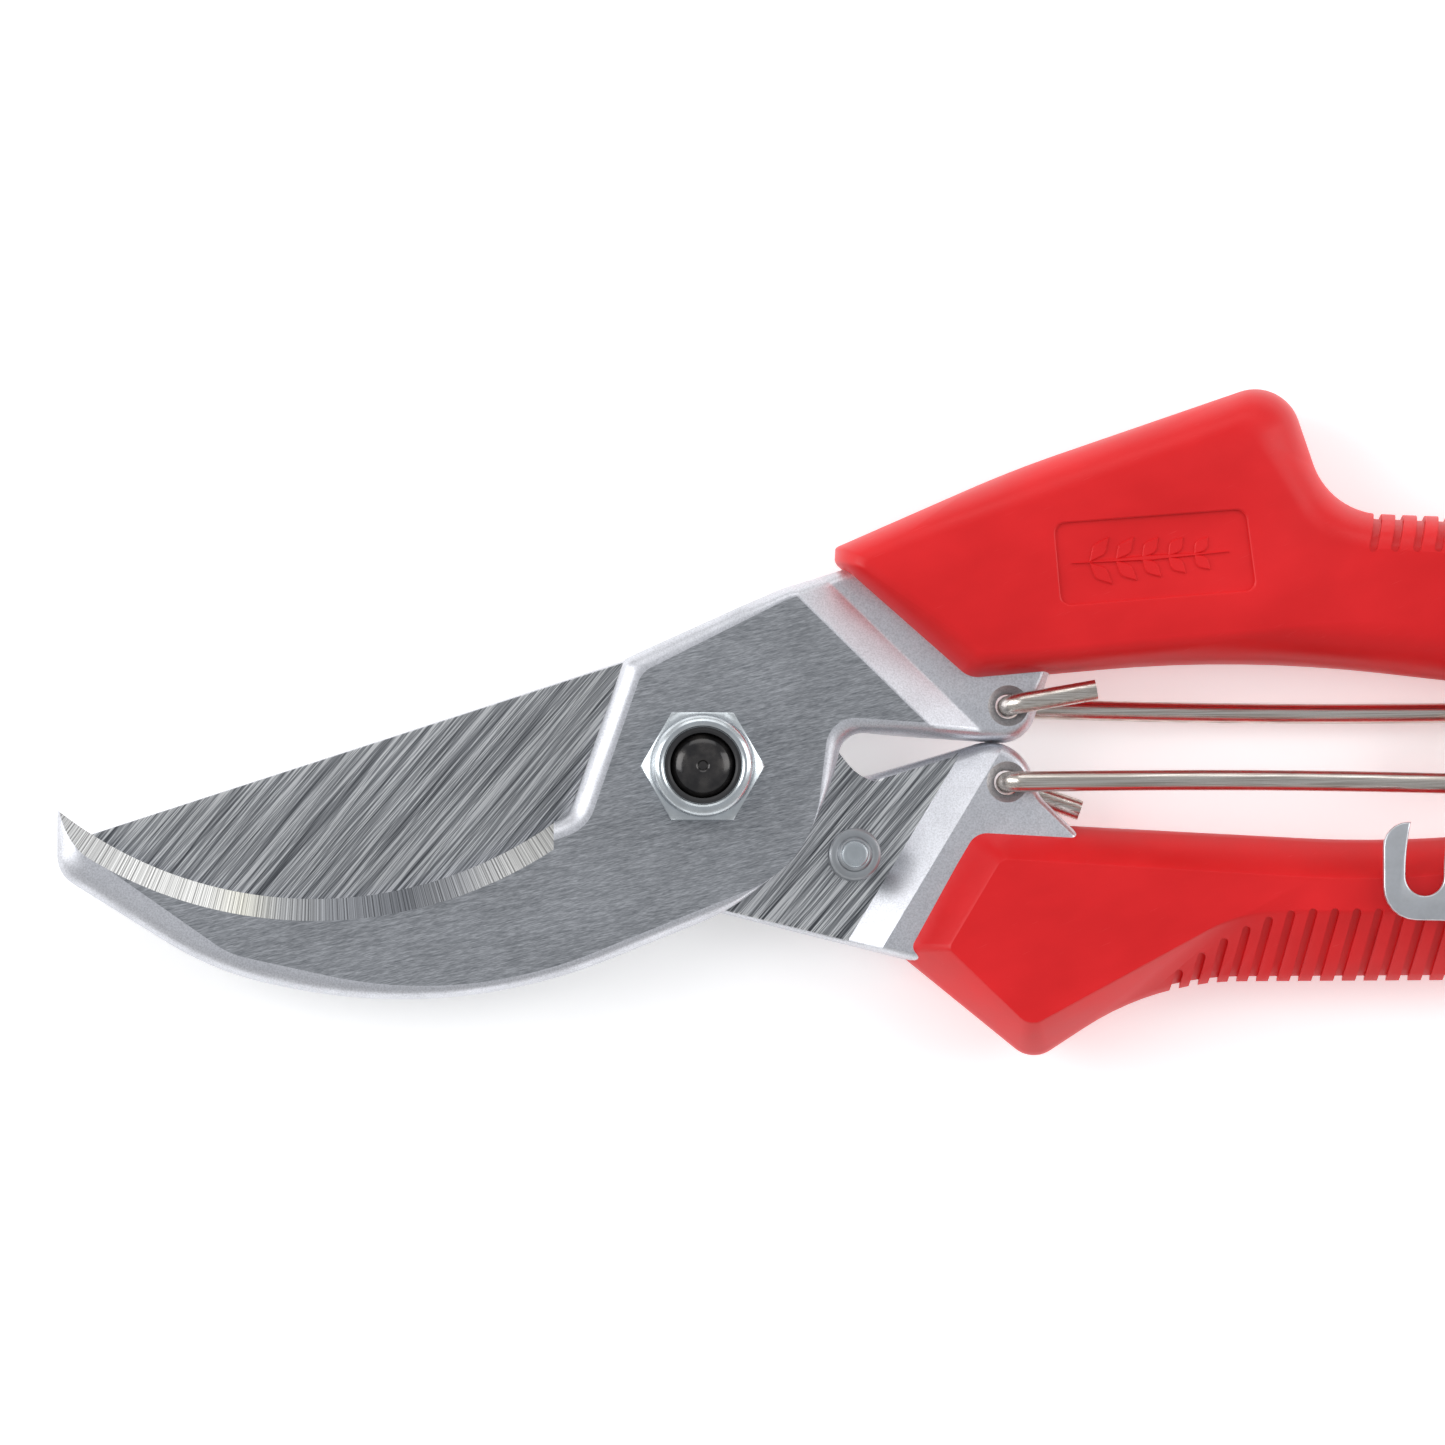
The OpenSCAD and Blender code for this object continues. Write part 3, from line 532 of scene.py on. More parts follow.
blade_edge = with_edge_arc(BLADE_EDGE, EDGE_R)
blade_flat = with_edge_arc(BLADE_FLAT, EDGE_R - 0.4)
blade_rings = [level(between(blade_edge, blade_flat, 0.3), BLADE_BACK), level(blade_edge, BLADE_BACK + 0.4)]
for out in (1.0, 0.9, 0.72, 0.5, 0.25, 0.0):
    band = BLADE_FRONT - drop_of(out, BLADE_BAND_DROP)
    blade_rings.append(level(between(blade_flat, blade_edge, out), band))
blade_bm = loft(blade_rings)
blade_cuts = [RUN_OUT_AT + 0.1 * RUN_OUT_L * k for k in range(11)] + [RIDGE_AT + RAMP_L]
shear_levels(blade_bm, BLADE_RAMP_TURN, blade_cuts, BLADE_BACK, BLADE_FRONT, blade_heights)
blade = made("cutting_blade_forging", blade_bm)
carve(blade, turned("edge_bevel_cut", [
    (EDGE_R - EDGE_BEVEL, BLADE_BACK - 0.01), (EDGE_R, BLADE_FRONT - EDGE_LAND),
    (EDGE_R + 3, BLADE_FRONT - EDGE_LAND), (EDGE_R + 3, BLADE_BACK - 1),
    (EDGE_R - EDGE_BEVEL, BLADE_BACK - 1),
], EDGE_AT, 240))
carve(blade, bore_cut())
LOWER_HOLE = (37.2, -1.64)
carve(blade, turned("lower_hole_cut", SPRING_SINK, LOWER_HOLE, 48))
smooth_by_angle(blade, 22)


def blade_ground_steel():
    """Coarse cross-grinding: long straight scratches, bright and dark, that lean to the right"""
    finish, tree, shader = new_finish("blade_ground_steel", (0.5, 0.5, 0.52), 0.33)
    broad = grain(tree, 50, (26, 0.40, 1), 1)
    fine = grain(tree, 53, (20, 0.20, 1), 2)
    hair = grain(tree, 48, (34, 0.11, 1), 1)
    both = mixed(tree, broad, fine, 0.5)
    scratch = mixed(tree, both, hair, 0.38)
    tone = ramp(tree, scratch, [
        (0.38, (0.09, 0.095, 0.105)), (0.45, (0.25, 0.26, 0.275)), (0.51, (0.44, 0.45, 0.465)),
        (0.555, (0.84, 0.85, 0.86)), (0.60, (1.0, 1.0, 1.0)),
    ])
    clouds = grain(tree, 0, (14, 14, 14), 2)
    tint = ramp(tree, clouds, [(0.3, 0.8), (0.7, 1.0)])
    tree.links.new(mixed(tree, tone, tint, 1.0, "MULTIPLY"), shader.inputs["Base Color"])
    tree.links.new(ramp(tree, scratch, [(0.4, 0.5), (0.6, 0.28)]), shader.inputs["Roughness"])
    bumped(tree, shader, scratch, 0.03, 0.6)
    return finish


for finish in (blade_ground_steel(), blasted_steel("blasted_tang", (0.74, 0.75, 0.79))):
    blade.data.materials.append(finish)
BLADE_GROUND, BLADE_BLASTED = 0, 1
ramp_aim = Vector((math.cos(BLADE_RAMP_TURN), math.sin(BLADE_RAMP_TURN)))
for face in blade.data.polygons:
    middle = face.center / MM
    along = middle.xy.dot(ramp_aim)
    front_face = face.normal.z > 0.80 and along < RIDGE_AT and middle.z > BLADE_FRONT - 0.1
    back_face = face.normal.z < -0.5 and along < RUN_OUT_AT - 0.4
    face.material_index = BLADE_GROUND if front_face or back_face else BLADE_BLASTED
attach(blade, "blade_half")
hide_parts("cutting_blade")


# ---- Grips -------------------------------------------------------------------------------
# Thick red vinyl moulded straight on to each tang. The upper grip is softly rounded, with a
# recessed panel; the lower one has flat facets and crisp ridges. Both have leaning grooves.
GRIP_T = 15.0
HANDLE_END = 127.0
GROOVE_PITCH, GROOVE_W, GROOVE_DEPTH = 2.67, 1.05, 0.62
GROOVE_FACE_DEPTH = 0.35
GROOVE_LEAN = math.radians(-13)
# Each groove on the lower grip ends this far behind its mark, because it leans
LEAN_RUN = 1.6
# On each grip, the mark of the first groove, the count of grooves and their length
LOWER_GROOVES, UPPER_GROOVES = (56.6, 18, 16), (81.4, 12, 12)
UPPER_GROOVE_Y = 26.2
SLOT_OVER = 2
UPPER_PARTING = [
    (16.3, 25.2, 1, 4), (32.4, 10.7, 3, 8), (66.0, 13.7, 170, 8), (125.5, 7.0, 5, 8),
    (HANDLE_END, 20.5, 7, 8), (101.0, 30.6, 50, 8), (76.8, 31.5, 9, 14), (71.2, 48.1, 5.6, 16),
    (38.0, 36.6, 150, 8), (16.2, 27.0, 0.8, 4),
]
UPPER_FACE = [
    (19.6, 24.2, 0.5, 4), (34.4, 13.9, 3, 8), (84.0, 18.3, 60, 8), (122.0, 11.2, 3, 8),
    (122.0, 18.8, 3, 8), (101.0, 25.4, 40, 8), (75.0, 27.0, 9, 12), (66.0, 41.6, 3, 16),
    (39.3, 31.8, 120, 8), (20.4, 25.2, 0.5, 4),
]
LOWER_PARTING = [
    (23.3, -21.9, 1.2, 6), (40.3, -35.7, 3.6, 10), (55.3, -25.9, 35, 10), (104.0, -25.6, 60, 6),
    (HANDLE_END, -21.0, 6, 8), (126.0, -5.0, 5, 8), (84.0, -8.9, 150, 8), (31.9, -6.2, 3, 8),
]
LOWER_FACE = [
    (29.9, -22.0, 0.8, 6), (39.7, -31.5, 2.2, 10), (66.0, -17.2, 20, 10), (104.0, -17.8, 40, 6),
    (122.0, -17.4, 3, 8), (122.0, -8.6, 3, 8), (84.0, -14.0, 100, 8), (36.3, -11.2, 1.5, 8),
]
# A flank's rings: how far in and how far up each lies, from the parting line to the face
SOFT_FLANK = [
    (0.0, 0.0), (0.03, 0.2), (0.1, 0.4), (0.22, 0.6), (0.38, 0.76), (0.56, 0.88), (0.76, 0.96),
    (1.0, 1.0),
]
FACET_FLANK = [(0.0, 0.0), (0.03, 0.08), (0.10, 0.2), (0.94, 0.962), (0.98, 0.99), (1.0, 1.0)]
PANEL = [(42.7, 29.6, 1.3, 6), (43.6, 19.6, 1.3, 6), (67.3, 21.5, 1.3, 6), (66.0, 31.4, 1.3, 6)]
PANEL_FLOOR, PANEL_LEAN = GRIP_T - 0.45, 4.4
LEAF_FOOT, LEAF_SHOULDER, LEAF_TOP = GRIP_T - 0.6, GRIP_T - 0.28, GRIP_T - 0.16
LEAF_PAIRS, LEAF_PITCH, LEAF_SPREAD = 5, 3.2, 48
FIRST_PAIR, LEAF_L, LEAF_SHORTER, LEAF_W = Vector((47.0, 24.9)), 3.9, 0.3, 0.95
STEM_FOOT, STEM_L, STEM_W = Vector((44.8, 24.73)), 19.4, 0.34


def grip_solid(name, parting, face, flank):
    """A grip lofted from its back face over its parting line to its front face"""
    widest, flat = outline(parting), outline(face)
    half = GRIP_T / 2
    rings = []
    for side in (-1, 1):
        for share, lift in (flank[::-1] if side < 0 else flank[1:]):
            rings.append(level(between(widest, flat, share), half + side * lift * half))
    return made(name, loft(rings))


def red_vinyl():
    """Semi-gloss red vinyl with a faint mould texture, small scuffs and slight fading"""
    finish, tree, shader = new_finish("red_vinyl", (0.70, 0.012, 0.016), 0.4, 0.0)
    clouds = grain(tree, 15, (14, 9, 9), 3)
    skin = grain(tree, 0, (0.35, 0.35, 0.35), 2)
    scuffs = grain(tree, 24, (3.5, 0.12, 1), 2)
    tone = ramp(tree, clouds, [(0.3, (0.68, 0.005, 0.007)), (0.7, (0.80, 0.008, 0.011))])
    worn = ramp(tree, scuffs, [(0.70, 0.0), (0.80, 0.35)])
    tree.links.new(mixed(tree, tone, (0.86, 0.10, 0.10), worn), shader.inputs["Base Color"])
    tree.links.new(ramp(tree, clouds, [(0.3, 0.36), (0.7, 0.47)]), shader.inputs["Roughness"])
    shader.inputs["Specular IOR Level"].default_value = 0.42
    shader.inputs["Subsurface Weight"].default_value = 0.06
    shader.inputs["Subsurface Radius"].default_value = (0.003, 0.0006, 0.0005)
    shader.inputs["Subsurface Scale"].default_value = 0.5
    bumped(tree, shader, skin, 0.012, 0.3)
    return finish


vinyl = red_vinyl()


def slot_cut(place, lean, length):
    """A cutter with round ends for one groove, upright through the grip, which starts at place"""
    bm = bmesh.new()
    bmesh.ops.create_circle(bm, cap_ends=True, segments=16, radius=GROOVE_W / 2 * MM)
    far = [v for v in bm.verts if v.co.y < -1e-9]
    bmesh.ops.translate(bm, verts=far, vec=(0, -length * MM, 0))
    bmesh.ops.translate(bm, verts=bm.verts, vec=(0, -GROOVE_W / 2 * MM, -SLOT_OVER * MM))
    raised = bmesh.ops.extrude_face_region(bm, geom=list(bm.faces))
    tops = [g for g in raised["geom"] if isinstance(g, bmesh.types.BMVert)]
    bmesh.ops.translate(bm, verts=tops, vec=(0, 0, (GRIP_T + 2 * SLOT_OVER) * MM))
    bmesh.ops.rotate(bm, verts=bm.verts, cent=(0, 0, 0), matrix=Matrix.Rotation(lean, 3, "Z"))
    bmesh.ops.translate(bm, verts=bm.verts, vec=(place[0] * MM, place[1] * MM, 0))
    bmesh.ops.recalc_face_normals(bm, faces=bm.faces)
    return made("slot", bm)


def joined(name, pieces):
    """Several separate cutters as one object"""
    bm = bmesh.new()
    for piece in pieces:
        bm.from_mesh(piece.data)
        bpy.data.objects.remove(piece)
    return made(name, bm)


def shrunk(corners, by):
    """The outline's corners moved in towards its middle line by a distance in mm"""
    points = [Vector(c[:2]) for c in corners]
    moved = []
    for i, p in enumerate(points):
        back = (points[i - 1] - p).normalized()
        on = (points[(i + 1) % len(points)] - p).normalized()
        left = Vector((-on.y, on.x))
        other = Vector((back.y, -back.x))
        inward = (left + other).normalized()
        stretch = by / max(inward.dot(left), 0.3)
        moved.append((p.x + inward.x * stretch, p.y + inward.y * stretch, *corners[i][2:]))
    return moved


def grooved_grip(name, parting, face, flank, places, lean, length):
    """A grip with a groove from each place: slots right through it, filled up by a thinner core"""
    grip = grip_solid(name, parting, face, flank)
    carve(grip, joined("slots", [slot_cut(place, lean, length) for place in places]))
    core = grip_solid("core", shrunk(parting, GROOVE_DEPTH), shrunk(face, GROOVE_DEPTH), flank)
    middle = GRIP_T / 2 * MM
    for v in core.data.vertices:
        v.co.z = middle + (v.co.z - middle) * (1 - GROOVE_FACE_DEPTH / (GRIP_T / 2))
    carve(grip, core, "UNION")
    return grip


def groove_top(x):
    """Where the grooves end on the lower grip's front: level, and then down towards its nose"""
    return -17.15 - 6.6 * max(0.0, (72.0 - x) / 14.5) ** 1.7


first, count, length = LOWER_GROOVES
groove_line = [first + GROOVE_PITCH * k for k in range(count)]
places = [(x + LEAN_RUN, groove_top(x)) for x in groove_line]
lower_grip = grooved_grip(
    "lower_grip_vinyl", LOWER_PARTING, LOWER_FACE, FACET_FLANK, places, GROOVE_LEAN, length
)
lower_grip.data.materials.append(vinyl)
smooth_by_angle(lower_grip, 30)
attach(lower_grip, "blade_half")
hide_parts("lower_grip")

first, count, length = UPPER_GROOVES
places = [(first + GROOVE_PITCH * k, UPPER_GROOVE_Y) for k in range(count)]
upper_grip = grooved_grip(
    "upper_grip_vinyl", UPPER_PARTING, UPPER_FACE, SOFT_FLANK, places, GROOVE_LEAN + math.pi, length
)
panel_rings = [
    level(outline(PANEL), PANEL_FLOOR), level(outline(PANEL), GRIP_T - 0.12),
    level(outline(shrunk(PANEL, -0.18)), GRIP_T + 0.03), level(outline(shrunk(PANEL, -0.3)), GRIP_T + 1),
]
carve(upper_grip, made("panel_cut", loft(panel_rings)))


def leaf(root, turn, length, width):
    """A raised leaf on the panel's floor, from its root along a direction in degrees"""
    along = Vector((math.cos(math.radians(turn)), math.sin(math.radians(turn))))
    side = Vector((-along.y, along.x)) * width
    tip, belly = root + along * length, root + along * length * 0.5
    corners = [(*root, 0, 0), (*(belly - side), width, 5), (*tip, 0, 0), (*(belly + side), width, 5)]
    rings = [level(outline(corners), LEAF_FOOT), level(outline(corners), LEAF_SHOULDER)]
    return made("leaf", loft(rings + [level(outline(shrunk(corners, 0.12)), LEAF_TOP)]))


sprig = Vector((math.cos(math.radians(PANEL_LEAN)), math.sin(math.radians(PANEL_LEAN))))
for k in range(LEAF_PAIRS):
    root = FIRST_PAIR + sprig * LEAF_PITCH * k
    for turn in (PANEL_LEAN + LEAF_SPREAD, PANEL_LEAN - LEAF_SPREAD):
        carve(upper_grip, leaf(root, turn, LEAF_L - LEAF_SHORTER * k, LEAF_W), "UNION")
carve(upper_grip, leaf(STEM_FOOT, PANEL_LEAN, STEM_L, STEM_W), "UNION")
upper_grip.data.materials.append(vinyl)
smooth_by_angle(upper_grip, 30)
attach(upper_grip, "hook_half")
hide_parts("upper_grip")


# ---- Pivot bolt, nut and washer ----------------------------------------------------------
# A black-oxide bolt with a flat spanner head at the back and a domed end in front, a zinc-plated
# nut whose collar is turned in over a black nylon ring, and a bronze washer at the back.
BOLT_R = 4.0
SPANNER_HOLE_AT = 4.96
NUT_AF, NUT_HEX_H, NUT_FOOT = 13.0, 4.8, HOOK_FRONT


def placed(piece, body, node, finish, sharp=28):
    """Gives a finished piece its material, shading and body, and hides the node that it replaces"""
    piece.data.materials.clear()
    piece.data.materials.append(finish)
    smooth_by_angle(piece, sharp)
    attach(piece, body)
    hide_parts(node)


def plated_steel(name, tone, rough):
    """Zinc-plated steel: bright, a little cloudy, with fine machining marks"""
    finish, tree, shader = new_finish(name, tone, rough)
    clouds = grain(tree, 30, (2.2, 2.2, 2.2), 3)
    fine = grain(tree, 0, (0.5, 0.5, 0.08), 3)
    tint = ramp(tree, clouds, [(0.3, 0.74), (0.68, 1.0)])
    tree.links.new(mixed(tree, tone, tint, 1.0, "MULTIPLY"), shader.inputs["Base Color"])
    tree.links.new(ramp(tree, clouds, [(0.3, rough + 0.14), (0.7, rough)]), shader.inputs["Roughness"])
    bumped(tree, shader, fine, 0.01, 0.35)
    return finish


def black_oxide():
    """Glossy black-oxide steel, rubbed a little brown in patches"""
    finish, tree, shader = new_finish("black_oxide", (0.028, 0.027, 0.028), 0.2, 0.6)
    clouds = grain(tree, 0, (1.5, 1.5, 1.5), 3)
    tone = ramp(tree, clouds, [(0.35, (0.018, 0.017, 0.018)), (0.75, (0.06, 0.055, 0.052))])
    tree.links.new(tone, shader.inputs["Base Color"])
    tree.links.new(ramp(tree, clouds, [(0.3, 0.15), (0.7, 0.32)]), shader.inputs["Roughness"])
    shader.inputs["Coat Weight"].default_value = 0.5
    shader.inputs["Coat Roughness"].default_value = 0.12
    return finish


def nylon():
    """Dull black nylon with a faint tooth"""
    finish, tree, shader = new_finish("nylon", (0.02, 0.02, 0.022), 0.5, 0.0)
    bumped(tree, shader, grain(tree, 0, (0.2, 0.2, 0.2), 2), 0.02, 0.4)
    return finish


def bronze():
    """Bronze, a little cloudy, with fine turning marks"""
    finish, tree, shader = new_finish("bronze", (0.62, 0.42, 0.18), 0.34)
    clouds = grain(tree, 0, (2, 2, 2), 3)
    tone = ramp(tree, clouds, [(0.3, (0.42, 0.27, 0.11)), (0.7, (0.68, 0.47, 0.21))])
    tree.links.new(tone, shader.inputs["Base Color"])
    bumped(tree, shader, grain(tree, 0, (0.6, 0.08, 0.3), 2), 0.01, 0.4)
    return finish


def lifted(foot, profile):
    """A turned profile moved up to stand at the height of its foot"""
    return [(r, foot + z) for r, z in profile]


zinc = plated_steel("bright_zinc", (0.68, 0.73, 0.76), 0.22)
oxide, bronze_finish = black_oxide(), bronze()
bolt = turned("bolt", [
    (0, 0), (7.3, 0), (7.65, 0.08), (7.9, 0.35), (8, 0.8), (8, 2.6), (7.6, 3.0), (BOLT_R, 3.0),
    (BOLT_R, 11.9), (3.9, 12.1), (3.9, 17.9), (3.78, 18.25), (3.5, 18.62), (3.0, 18.95), (2.2, 19.18),
    (1.2, 19.29), (0.82, 19.3), (0.66, 19.22), (0.5, 18.96), (0, 18.9),
])
spanner_hole = [(0, -1), (1.12, -1), (1.12, 0), (1.0, 0.12), (1.0, 1.8), (0, 2.1)]
for side in (-1, 1):
    carve(bolt, turned("spanner_hole", spanner_hole, (side * SPANNER_HOLE_AT, 0), 32))
placed(bolt, "hook_half", "pivot_bolt", oxide)

washer = turned("washer", [
    (BORE_R, 3.0), (8.3, 3.0), (8.5, 3.15), (8.5, 3.6), (8.35, 3.75), (BORE_R, 3.75),
])
placed(washer, "blade_half", "thrust_washer", bronze_finish)

nut_corner = NUT_AF / math.sqrt(3) * MM
flats_up = Matrix.Rotation(math.radians(30), 3, "Z")
hex_bm = bmesh.new()
bmesh.ops.create_cone(
    hex_bm, cap_ends=True, segments=6, radius1=nut_corner, radius2=nut_corner, depth=NUT_HEX_H * MM
)
bmesh.ops.rotate(hex_bm, verts=hex_bm.verts, cent=(0, 0, 0), matrix=flats_up)
bmesh.ops.translate(hex_bm, verts=hex_bm.verts, vec=(0, 0, (NUT_FOOT + NUT_HEX_H / 2) * MM))
nut = made("nut", hex_bm)
carve(nut, turned("nut_chamfers", lifted(NUT_FOOT, [
    (0, -1), (6.5, -1), (6.5, 0), (7.3, 0.4), (7.6, 0.8), (7.6, 3.9), (7.2, 4.35), (6.3, NUT_HEX_H),
    (0, NUT_HEX_H),
])), "INTERSECT")
carve(nut, turned("nut_collar", lifted(NUT_FOOT, [
    (0, 3), (6.2, 3), (6.2, 6.0), (6.12, 6.4), (5.9, 6.8), (5.62, 7.06), (5.35, 7.18), (5.05, 7.15),
    (4.8, 6.98), (4.68, 6.7), (0, 6.7),
])), "UNION")
carve(nut, turned("nut_bore", [
    (0, 12), (BOLT_R, 12), (BOLT_R, 17.4), (5.2, 17.4), (5.2, 19.0), (4.66, 19.15), (4.66, 21),
    (0, 21),
]))
placed(nut, "hook_half", "pivot_nut", zinc)

ring = turned("nylon_ring", [
    (3.93, 17.4), (5.19, 17.4), (5.19, 18.98), (4.66, 19.14), (4.25, 19.12), (3.98, 18.95),
])
placed(ring, "hook_half", "nut_insert", nylon())


# ---- Stop bush and its rivet -------------------------------------------------------------
# A turned, zinc-plated bush on the blade, which the hook's heel strikes when the shears are
# fully open. Its rivet is countersunk in the back of the blade and headed over in front.
STOP_AT = (18.6, -10.5)
bush = turned("bush", [
    (1.64, BLADE_FRONT), (3.2, BLADE_FRONT), (3.2, 11.55), (3.12, 11.82), (2.9, 12.02), (2.6, 12.08),
    (2.25, 12.05), (2.12, 12.0), (2.02, 12.18), (1.9, 12.32), (1.75, 12.35), (1.64, 12.3),
], STOP_AT, 64)
placed(bush, "blade_half", "stop_bush", plated_steel("dull_zinc", (0.46, 0.48, 0.50), 0.34))
rivet = turned("rivet", [
    (0, BLADE_BACK), (2.85, BLADE_BACK), (1.65, 5.0), (1.65, 12.3), (1.52, 12.46), (1.25, 12.55),
    (0.9, 12.5), (0.55, 12.46), (0, 12.45),
], STOP_AT, 48)
placed(rivet, "blade_half", "stop_rivet", zinc)


# ---- Wire spring -------------------------------------------------------------------------
# One length of drawn nickel-plated wire: a hooked stub through a countersunk hole in each
# tang, two long arms, and three and a half turns of coil between the handles. Each arm moves
# with its own body, so the coil goes with the upper arm and hides the end of the lower one.
WIRE_R, BEND_R, BEND_STEPS = 1.25, 2.2, 10
WIRE_BACK, WIRE_FRONT = 2.95, 12.05
COIL_AT = Vector((97.0, 2.6))
COIL_R, COIL_RISE, COIL_TURNS, COIL_STEPS = 4.6, 2.6, 3.5, 150
# Each stub's direction and its length
UPPER_STUB, LOWER_STUB = (math.radians(10), 10.8), (math.radians(-19), 9.8)
ARM_BOW = 0.35


def arm_turn(hole, side):
    """Direction of an arm from its hole to where it meets the coil"""
    away = COIL_AT - Vector(hole)
    return math.atan2(away.y, away.x) + side * math.asin(COIL_R / away.length)


def hooked_end(hole, stub, arm, up):
    """Points from the stub's end, through the hole, to the start of the arm"""
    stub_turn, stub_l = stub
    low, high = (WIRE_BACK, WIRE_FRONT)[::up]
    foot, head = Vector((*hole, low)), Vector((*hole, high))
    z = Vector((0, 0, up))
    s = Vector((math.cos(stub_turn), math.sin(stub_turn), 0))
    a = Vector((math.cos(arm), math.sin(arm), 0))
    turns = [math.radians(90 * k / BEND_STEPS) for k in range(BEND_STEPS + 1)]
    points = [head + s * stub_l, head + s * (stub_l - 0.6)]
    points += [head + (s - z) * BEND_R + BEND_R * (z * math.cos(t) - s * math.sin(t)) for t in turns]
    points += [foot + (a + z) * BEND_R - BEND_R * (a * math.cos(t) + z * math.sin(t)) for t in turns]
    return points


def coil_point(turn):
    """The point of the coil at an angle wound on from its back end"""
    x, y = COIL_AT.x + COIL_R * math.sin(turn), COIL_AT.y + COIL_R * math.cos(turn)
    return Vector((x, y, WIRE_BACK + COIL_RISE * turn / math.tau))


def bowed(start, end, sag, steps=24):
    """Points of an arm that bows sideways by sag between its two ends"""
    across = Vector((start.y - end.y, end.x - start.x, 0)).normalized()
    shares = [k / steps for k in range(1, steps)]
    return [start.lerp(end, t) + across * sag * math.sin(math.pi * t) for t in shares]


def wire_object(name, points):
    """Round wire along a run of points in mm"""
    run = bpy.data.curves.new(name, "CURVE")
    run.dimensions = "3D"
    run.bevel_depth = WIRE_R * MM
    run.bevel_resolution = 6
    run.use_fill_caps = True
    line = run.splines.new("POLY")
    line.points.add(len(points) - 1)
    for point, place in zip(line.points, points):
        point.co = (*(place * MM), 1)
    holder = bpy.data.objects.new(name + "_run", run)
    bpy.context.scene.collection.objects.link(holder)
    mesh = settled_mesh(holder)
    bpy.data.objects.remove(holder)
    bm = bmesh.new()
    bm.from_mesh(mesh)
    bmesh.ops.remove_doubles(bm, verts=bm.verts, dist=FINE_WELD)
    bmesh.ops.recalc_face_normals(bm, faces=bm.faces)
    return made(name, bm)


def drawn_wire():
    """Warm nickel wire with fine drawing lines along it"""
    finish, tree, shader = new_finish("drawn_wire", (0.60, 0.55, 0.50), 0.26)
    lines = grain(tree, 1, (12, 0.09, 0.09), 3)
    tone = ramp(tree, lines, [
        (0.35, (0.38, 0.34, 0.30)), (0.5, (0.62, 0.57, 0.52)), (0.66, (0.80, 0.76, 0.71)),
    ])
    tree.links.new(tone, shader.inputs["Base Color"])
    tree.links.new(ramp(tree, lines, [(0.3, 0.36), (0.7, 0.2)]), shader.inputs["Roughness"])
    bumped(tree, shader, lines, 0.015, 0.5)
    return finish


wire_finish = drawn_wire()
upper_arm, lower_arm = arm_turn(UPPER_HOLE, 1), arm_turn(LOWER_HOLE, -1)
end_turn = math.tau * COIL_TURNS - lower_arm
whole_turn = end_turn + upper_arm
upper_run = hooked_end(UPPER_HOLE, UPPER_STUB, upper_arm, 1)
coil_run = [coil_point(-upper_arm + whole_turn * k / COIL_STEPS) for k in range(COIL_STEPS + 1)]
upper_run += bowed(upper_run[-1], coil_run[0], -ARM_BOW) + coil_run
lower_run = hooked_end(LOWER_HOLE, LOWER_STUB, lower_arm, -1)
lower_end = [coil_point(end_turn - math.radians(9 * k)) for k in range(8)]
lower_run += bowed(lower_run[-1], lower_end[0], ARM_BOW) + lower_end
upper_wire = wire_object("spring_upper", upper_run)
placed(upper_wire, "spring_upper", "spring_upper_arm", wire_finish, 40)
lower_wire = wire_object("spring_lower", lower_run)
placed(lower_wire, "spring_lower", "spring_lower_arm", wire_finish, 40)


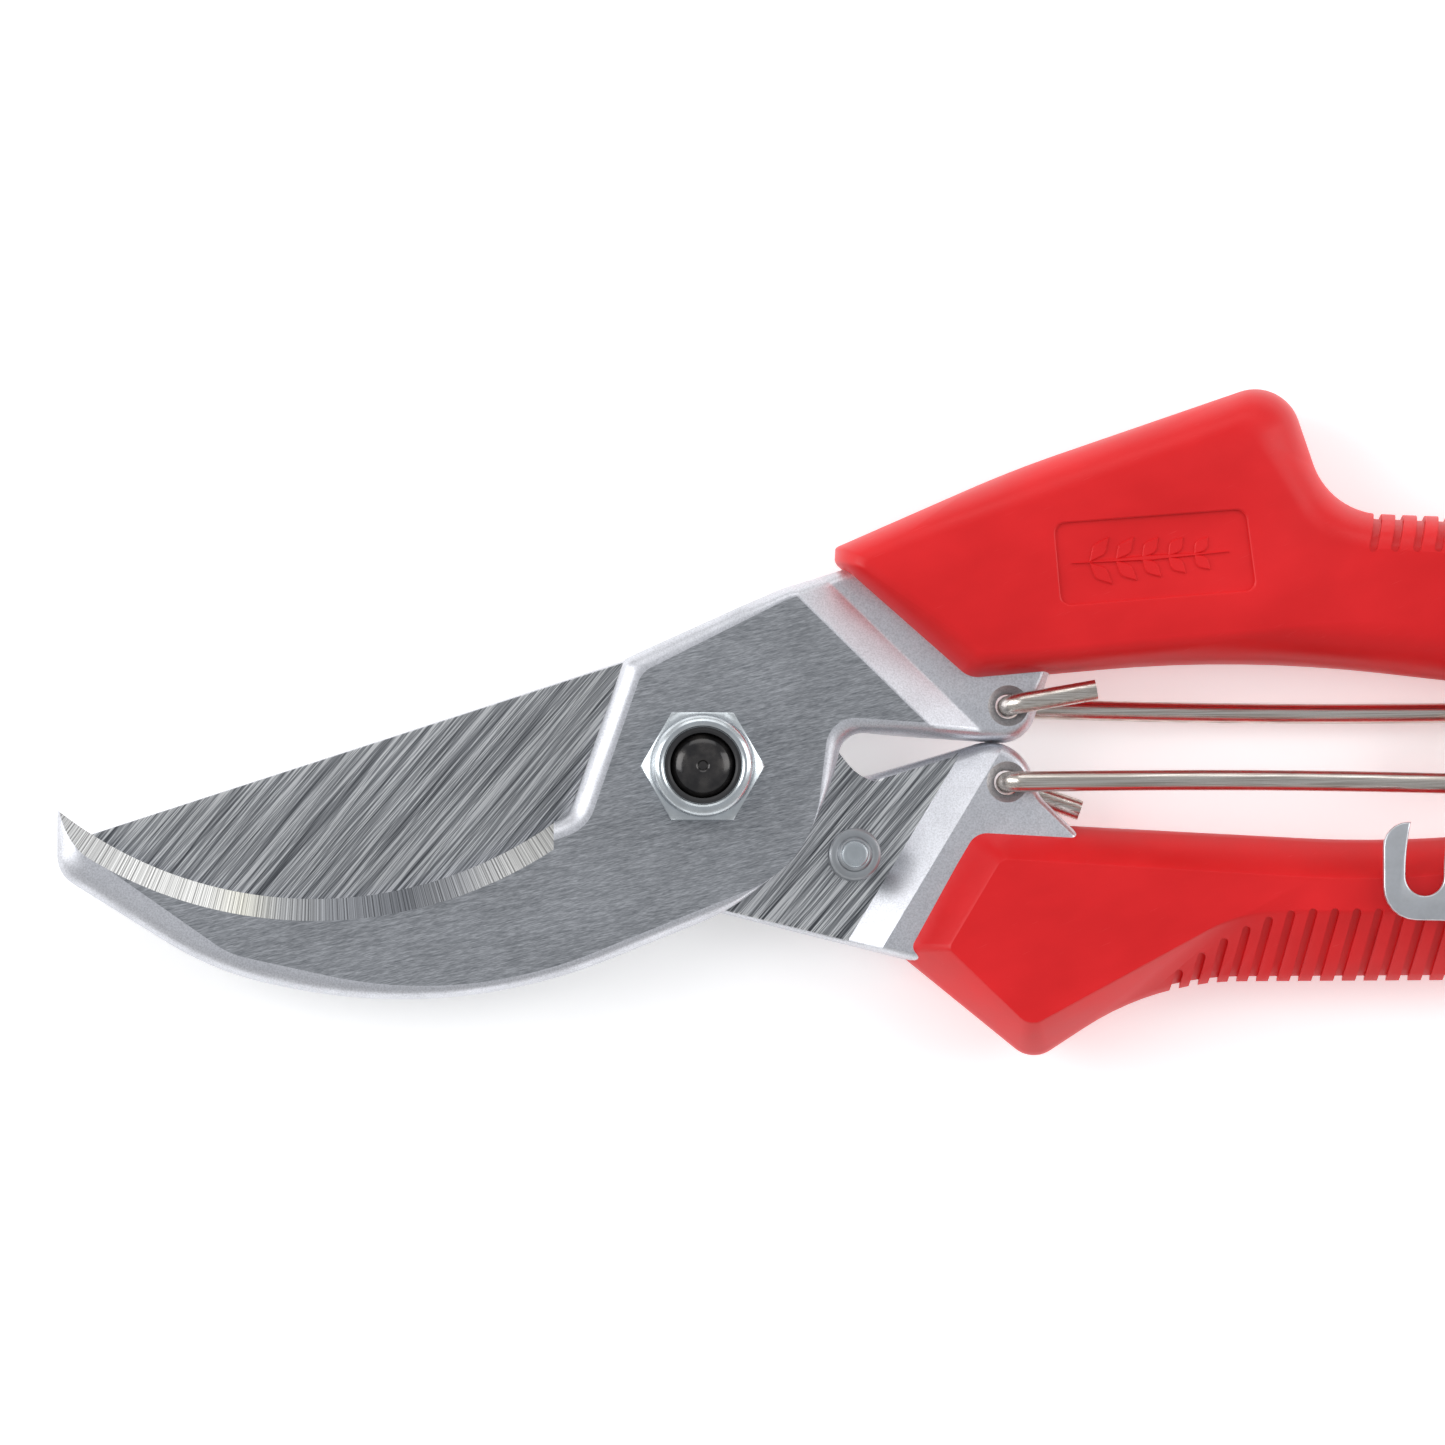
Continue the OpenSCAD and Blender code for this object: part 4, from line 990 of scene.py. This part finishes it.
# ---- Catch plate, its rivet and the keeper stud ------------------------------------------
# A stamped, zinc-plated plate turns on a headed rivet in the lower grip, over a bronze spacer.
# Its curved slot hooks round the keeper stud, and both shanks are riveted over washers behind.
CATCH_AT, KEEPER_AT = (117.0, -13.3), (117.0, 16.2)
SHANK_R, RIM_R = 2.0, 0.22
plate_bm = bmesh.new()
plate_bm.from_mesh(bpy.data.objects["catch_plate"].data)
bmesh.ops.remove_doubles(plate_bm, verts=plate_bm.verts, dist=FINE_WELD)
bmesh.ops.dissolve_limit(plate_bm, angle_limit=math.radians(1), verts=plate_bm.verts, edges=plate_bm.edges)
rims = [e for e in plate_bm.edges if len(e.link_faces) == 2 and e.calc_face_angle() > math.radians(60)]
rims = [e for e in rims if any(abs(f.normal.z) > 0.9 for f in e.link_faces)]
bmesh.ops.bevel(
    plate_bm, geom=rims, offset=RIM_R * MM, offset_type="OFFSET", segments=3, profile=0.5, affect="EDGES",
    material=-1, clamp_overlap=True,
)
stamped_zinc = plated_steel("stamped_zinc", (0.70, 0.72, 0.75), 0.32)
placed(made("plate", plate_bm), "catch", "catch_plate", stamped_zinc)

shank = [(0, 0.2), (1.6, 0.2), (2.15, 0.28), (2.6, 0.5), (2.88, 0.8), (SHANK_R, 0.8)]
stud_head = [(3.38, 17.45), (3.4, 17.9), (3.2, 18.3), (2.6, 18.6), (1.6, 18.73), (0, 18.75)]
stud = turned("stud", shank + [
    (SHANK_R, GRIP_T), (3.0, GRIP_T), (3.0, 15.4), (SHANK_R, 15.4), (SHANK_R, 17.45), (3.3, 17.45),
] + stud_head, KEEPER_AT, 48)
placed(stud, "hook_half", "keeper_stud", zinc)
rivet_head = [(3.5, 17.2), (3.6, 17.3), (3.58, 17.8), (3.3, 18.3), (2.6, 18.58), (1.5, 18.69), (0, 18.7)]
pin = turned("pin", shank + [(SHANK_R, 17.2)] + rivet_head, CATCH_AT, 48)
placed(pin, "blade_half", "catch_rivet", zinc)
washer_profile = [(SHANK_R, 0.8), (3.05, 0.8), (3.2, 0.95), (3.2, 1.6), (SHANK_R, 1.6)]
for place, body, node in (
    (KEEPER_AT, "hook_half", "keeper_washer"),
    (CATCH_AT, "blade_half", "catch_back_washer"),
):
    disc = turned(node + "_disc", washer_profile, place, 48)
    placed(disc, body, node, zinc)
spacer = turned("spacer", [
    (SHANK_R, GRIP_T), (4.1, GRIP_T), (4.2, 15.1), (4.2, 15.5), (4.1, 15.6), (SHANK_R, 15.6),
], CATCH_AT, 48)
placed(spacer, "blade_half", "catch_spacer", bronze_finish)
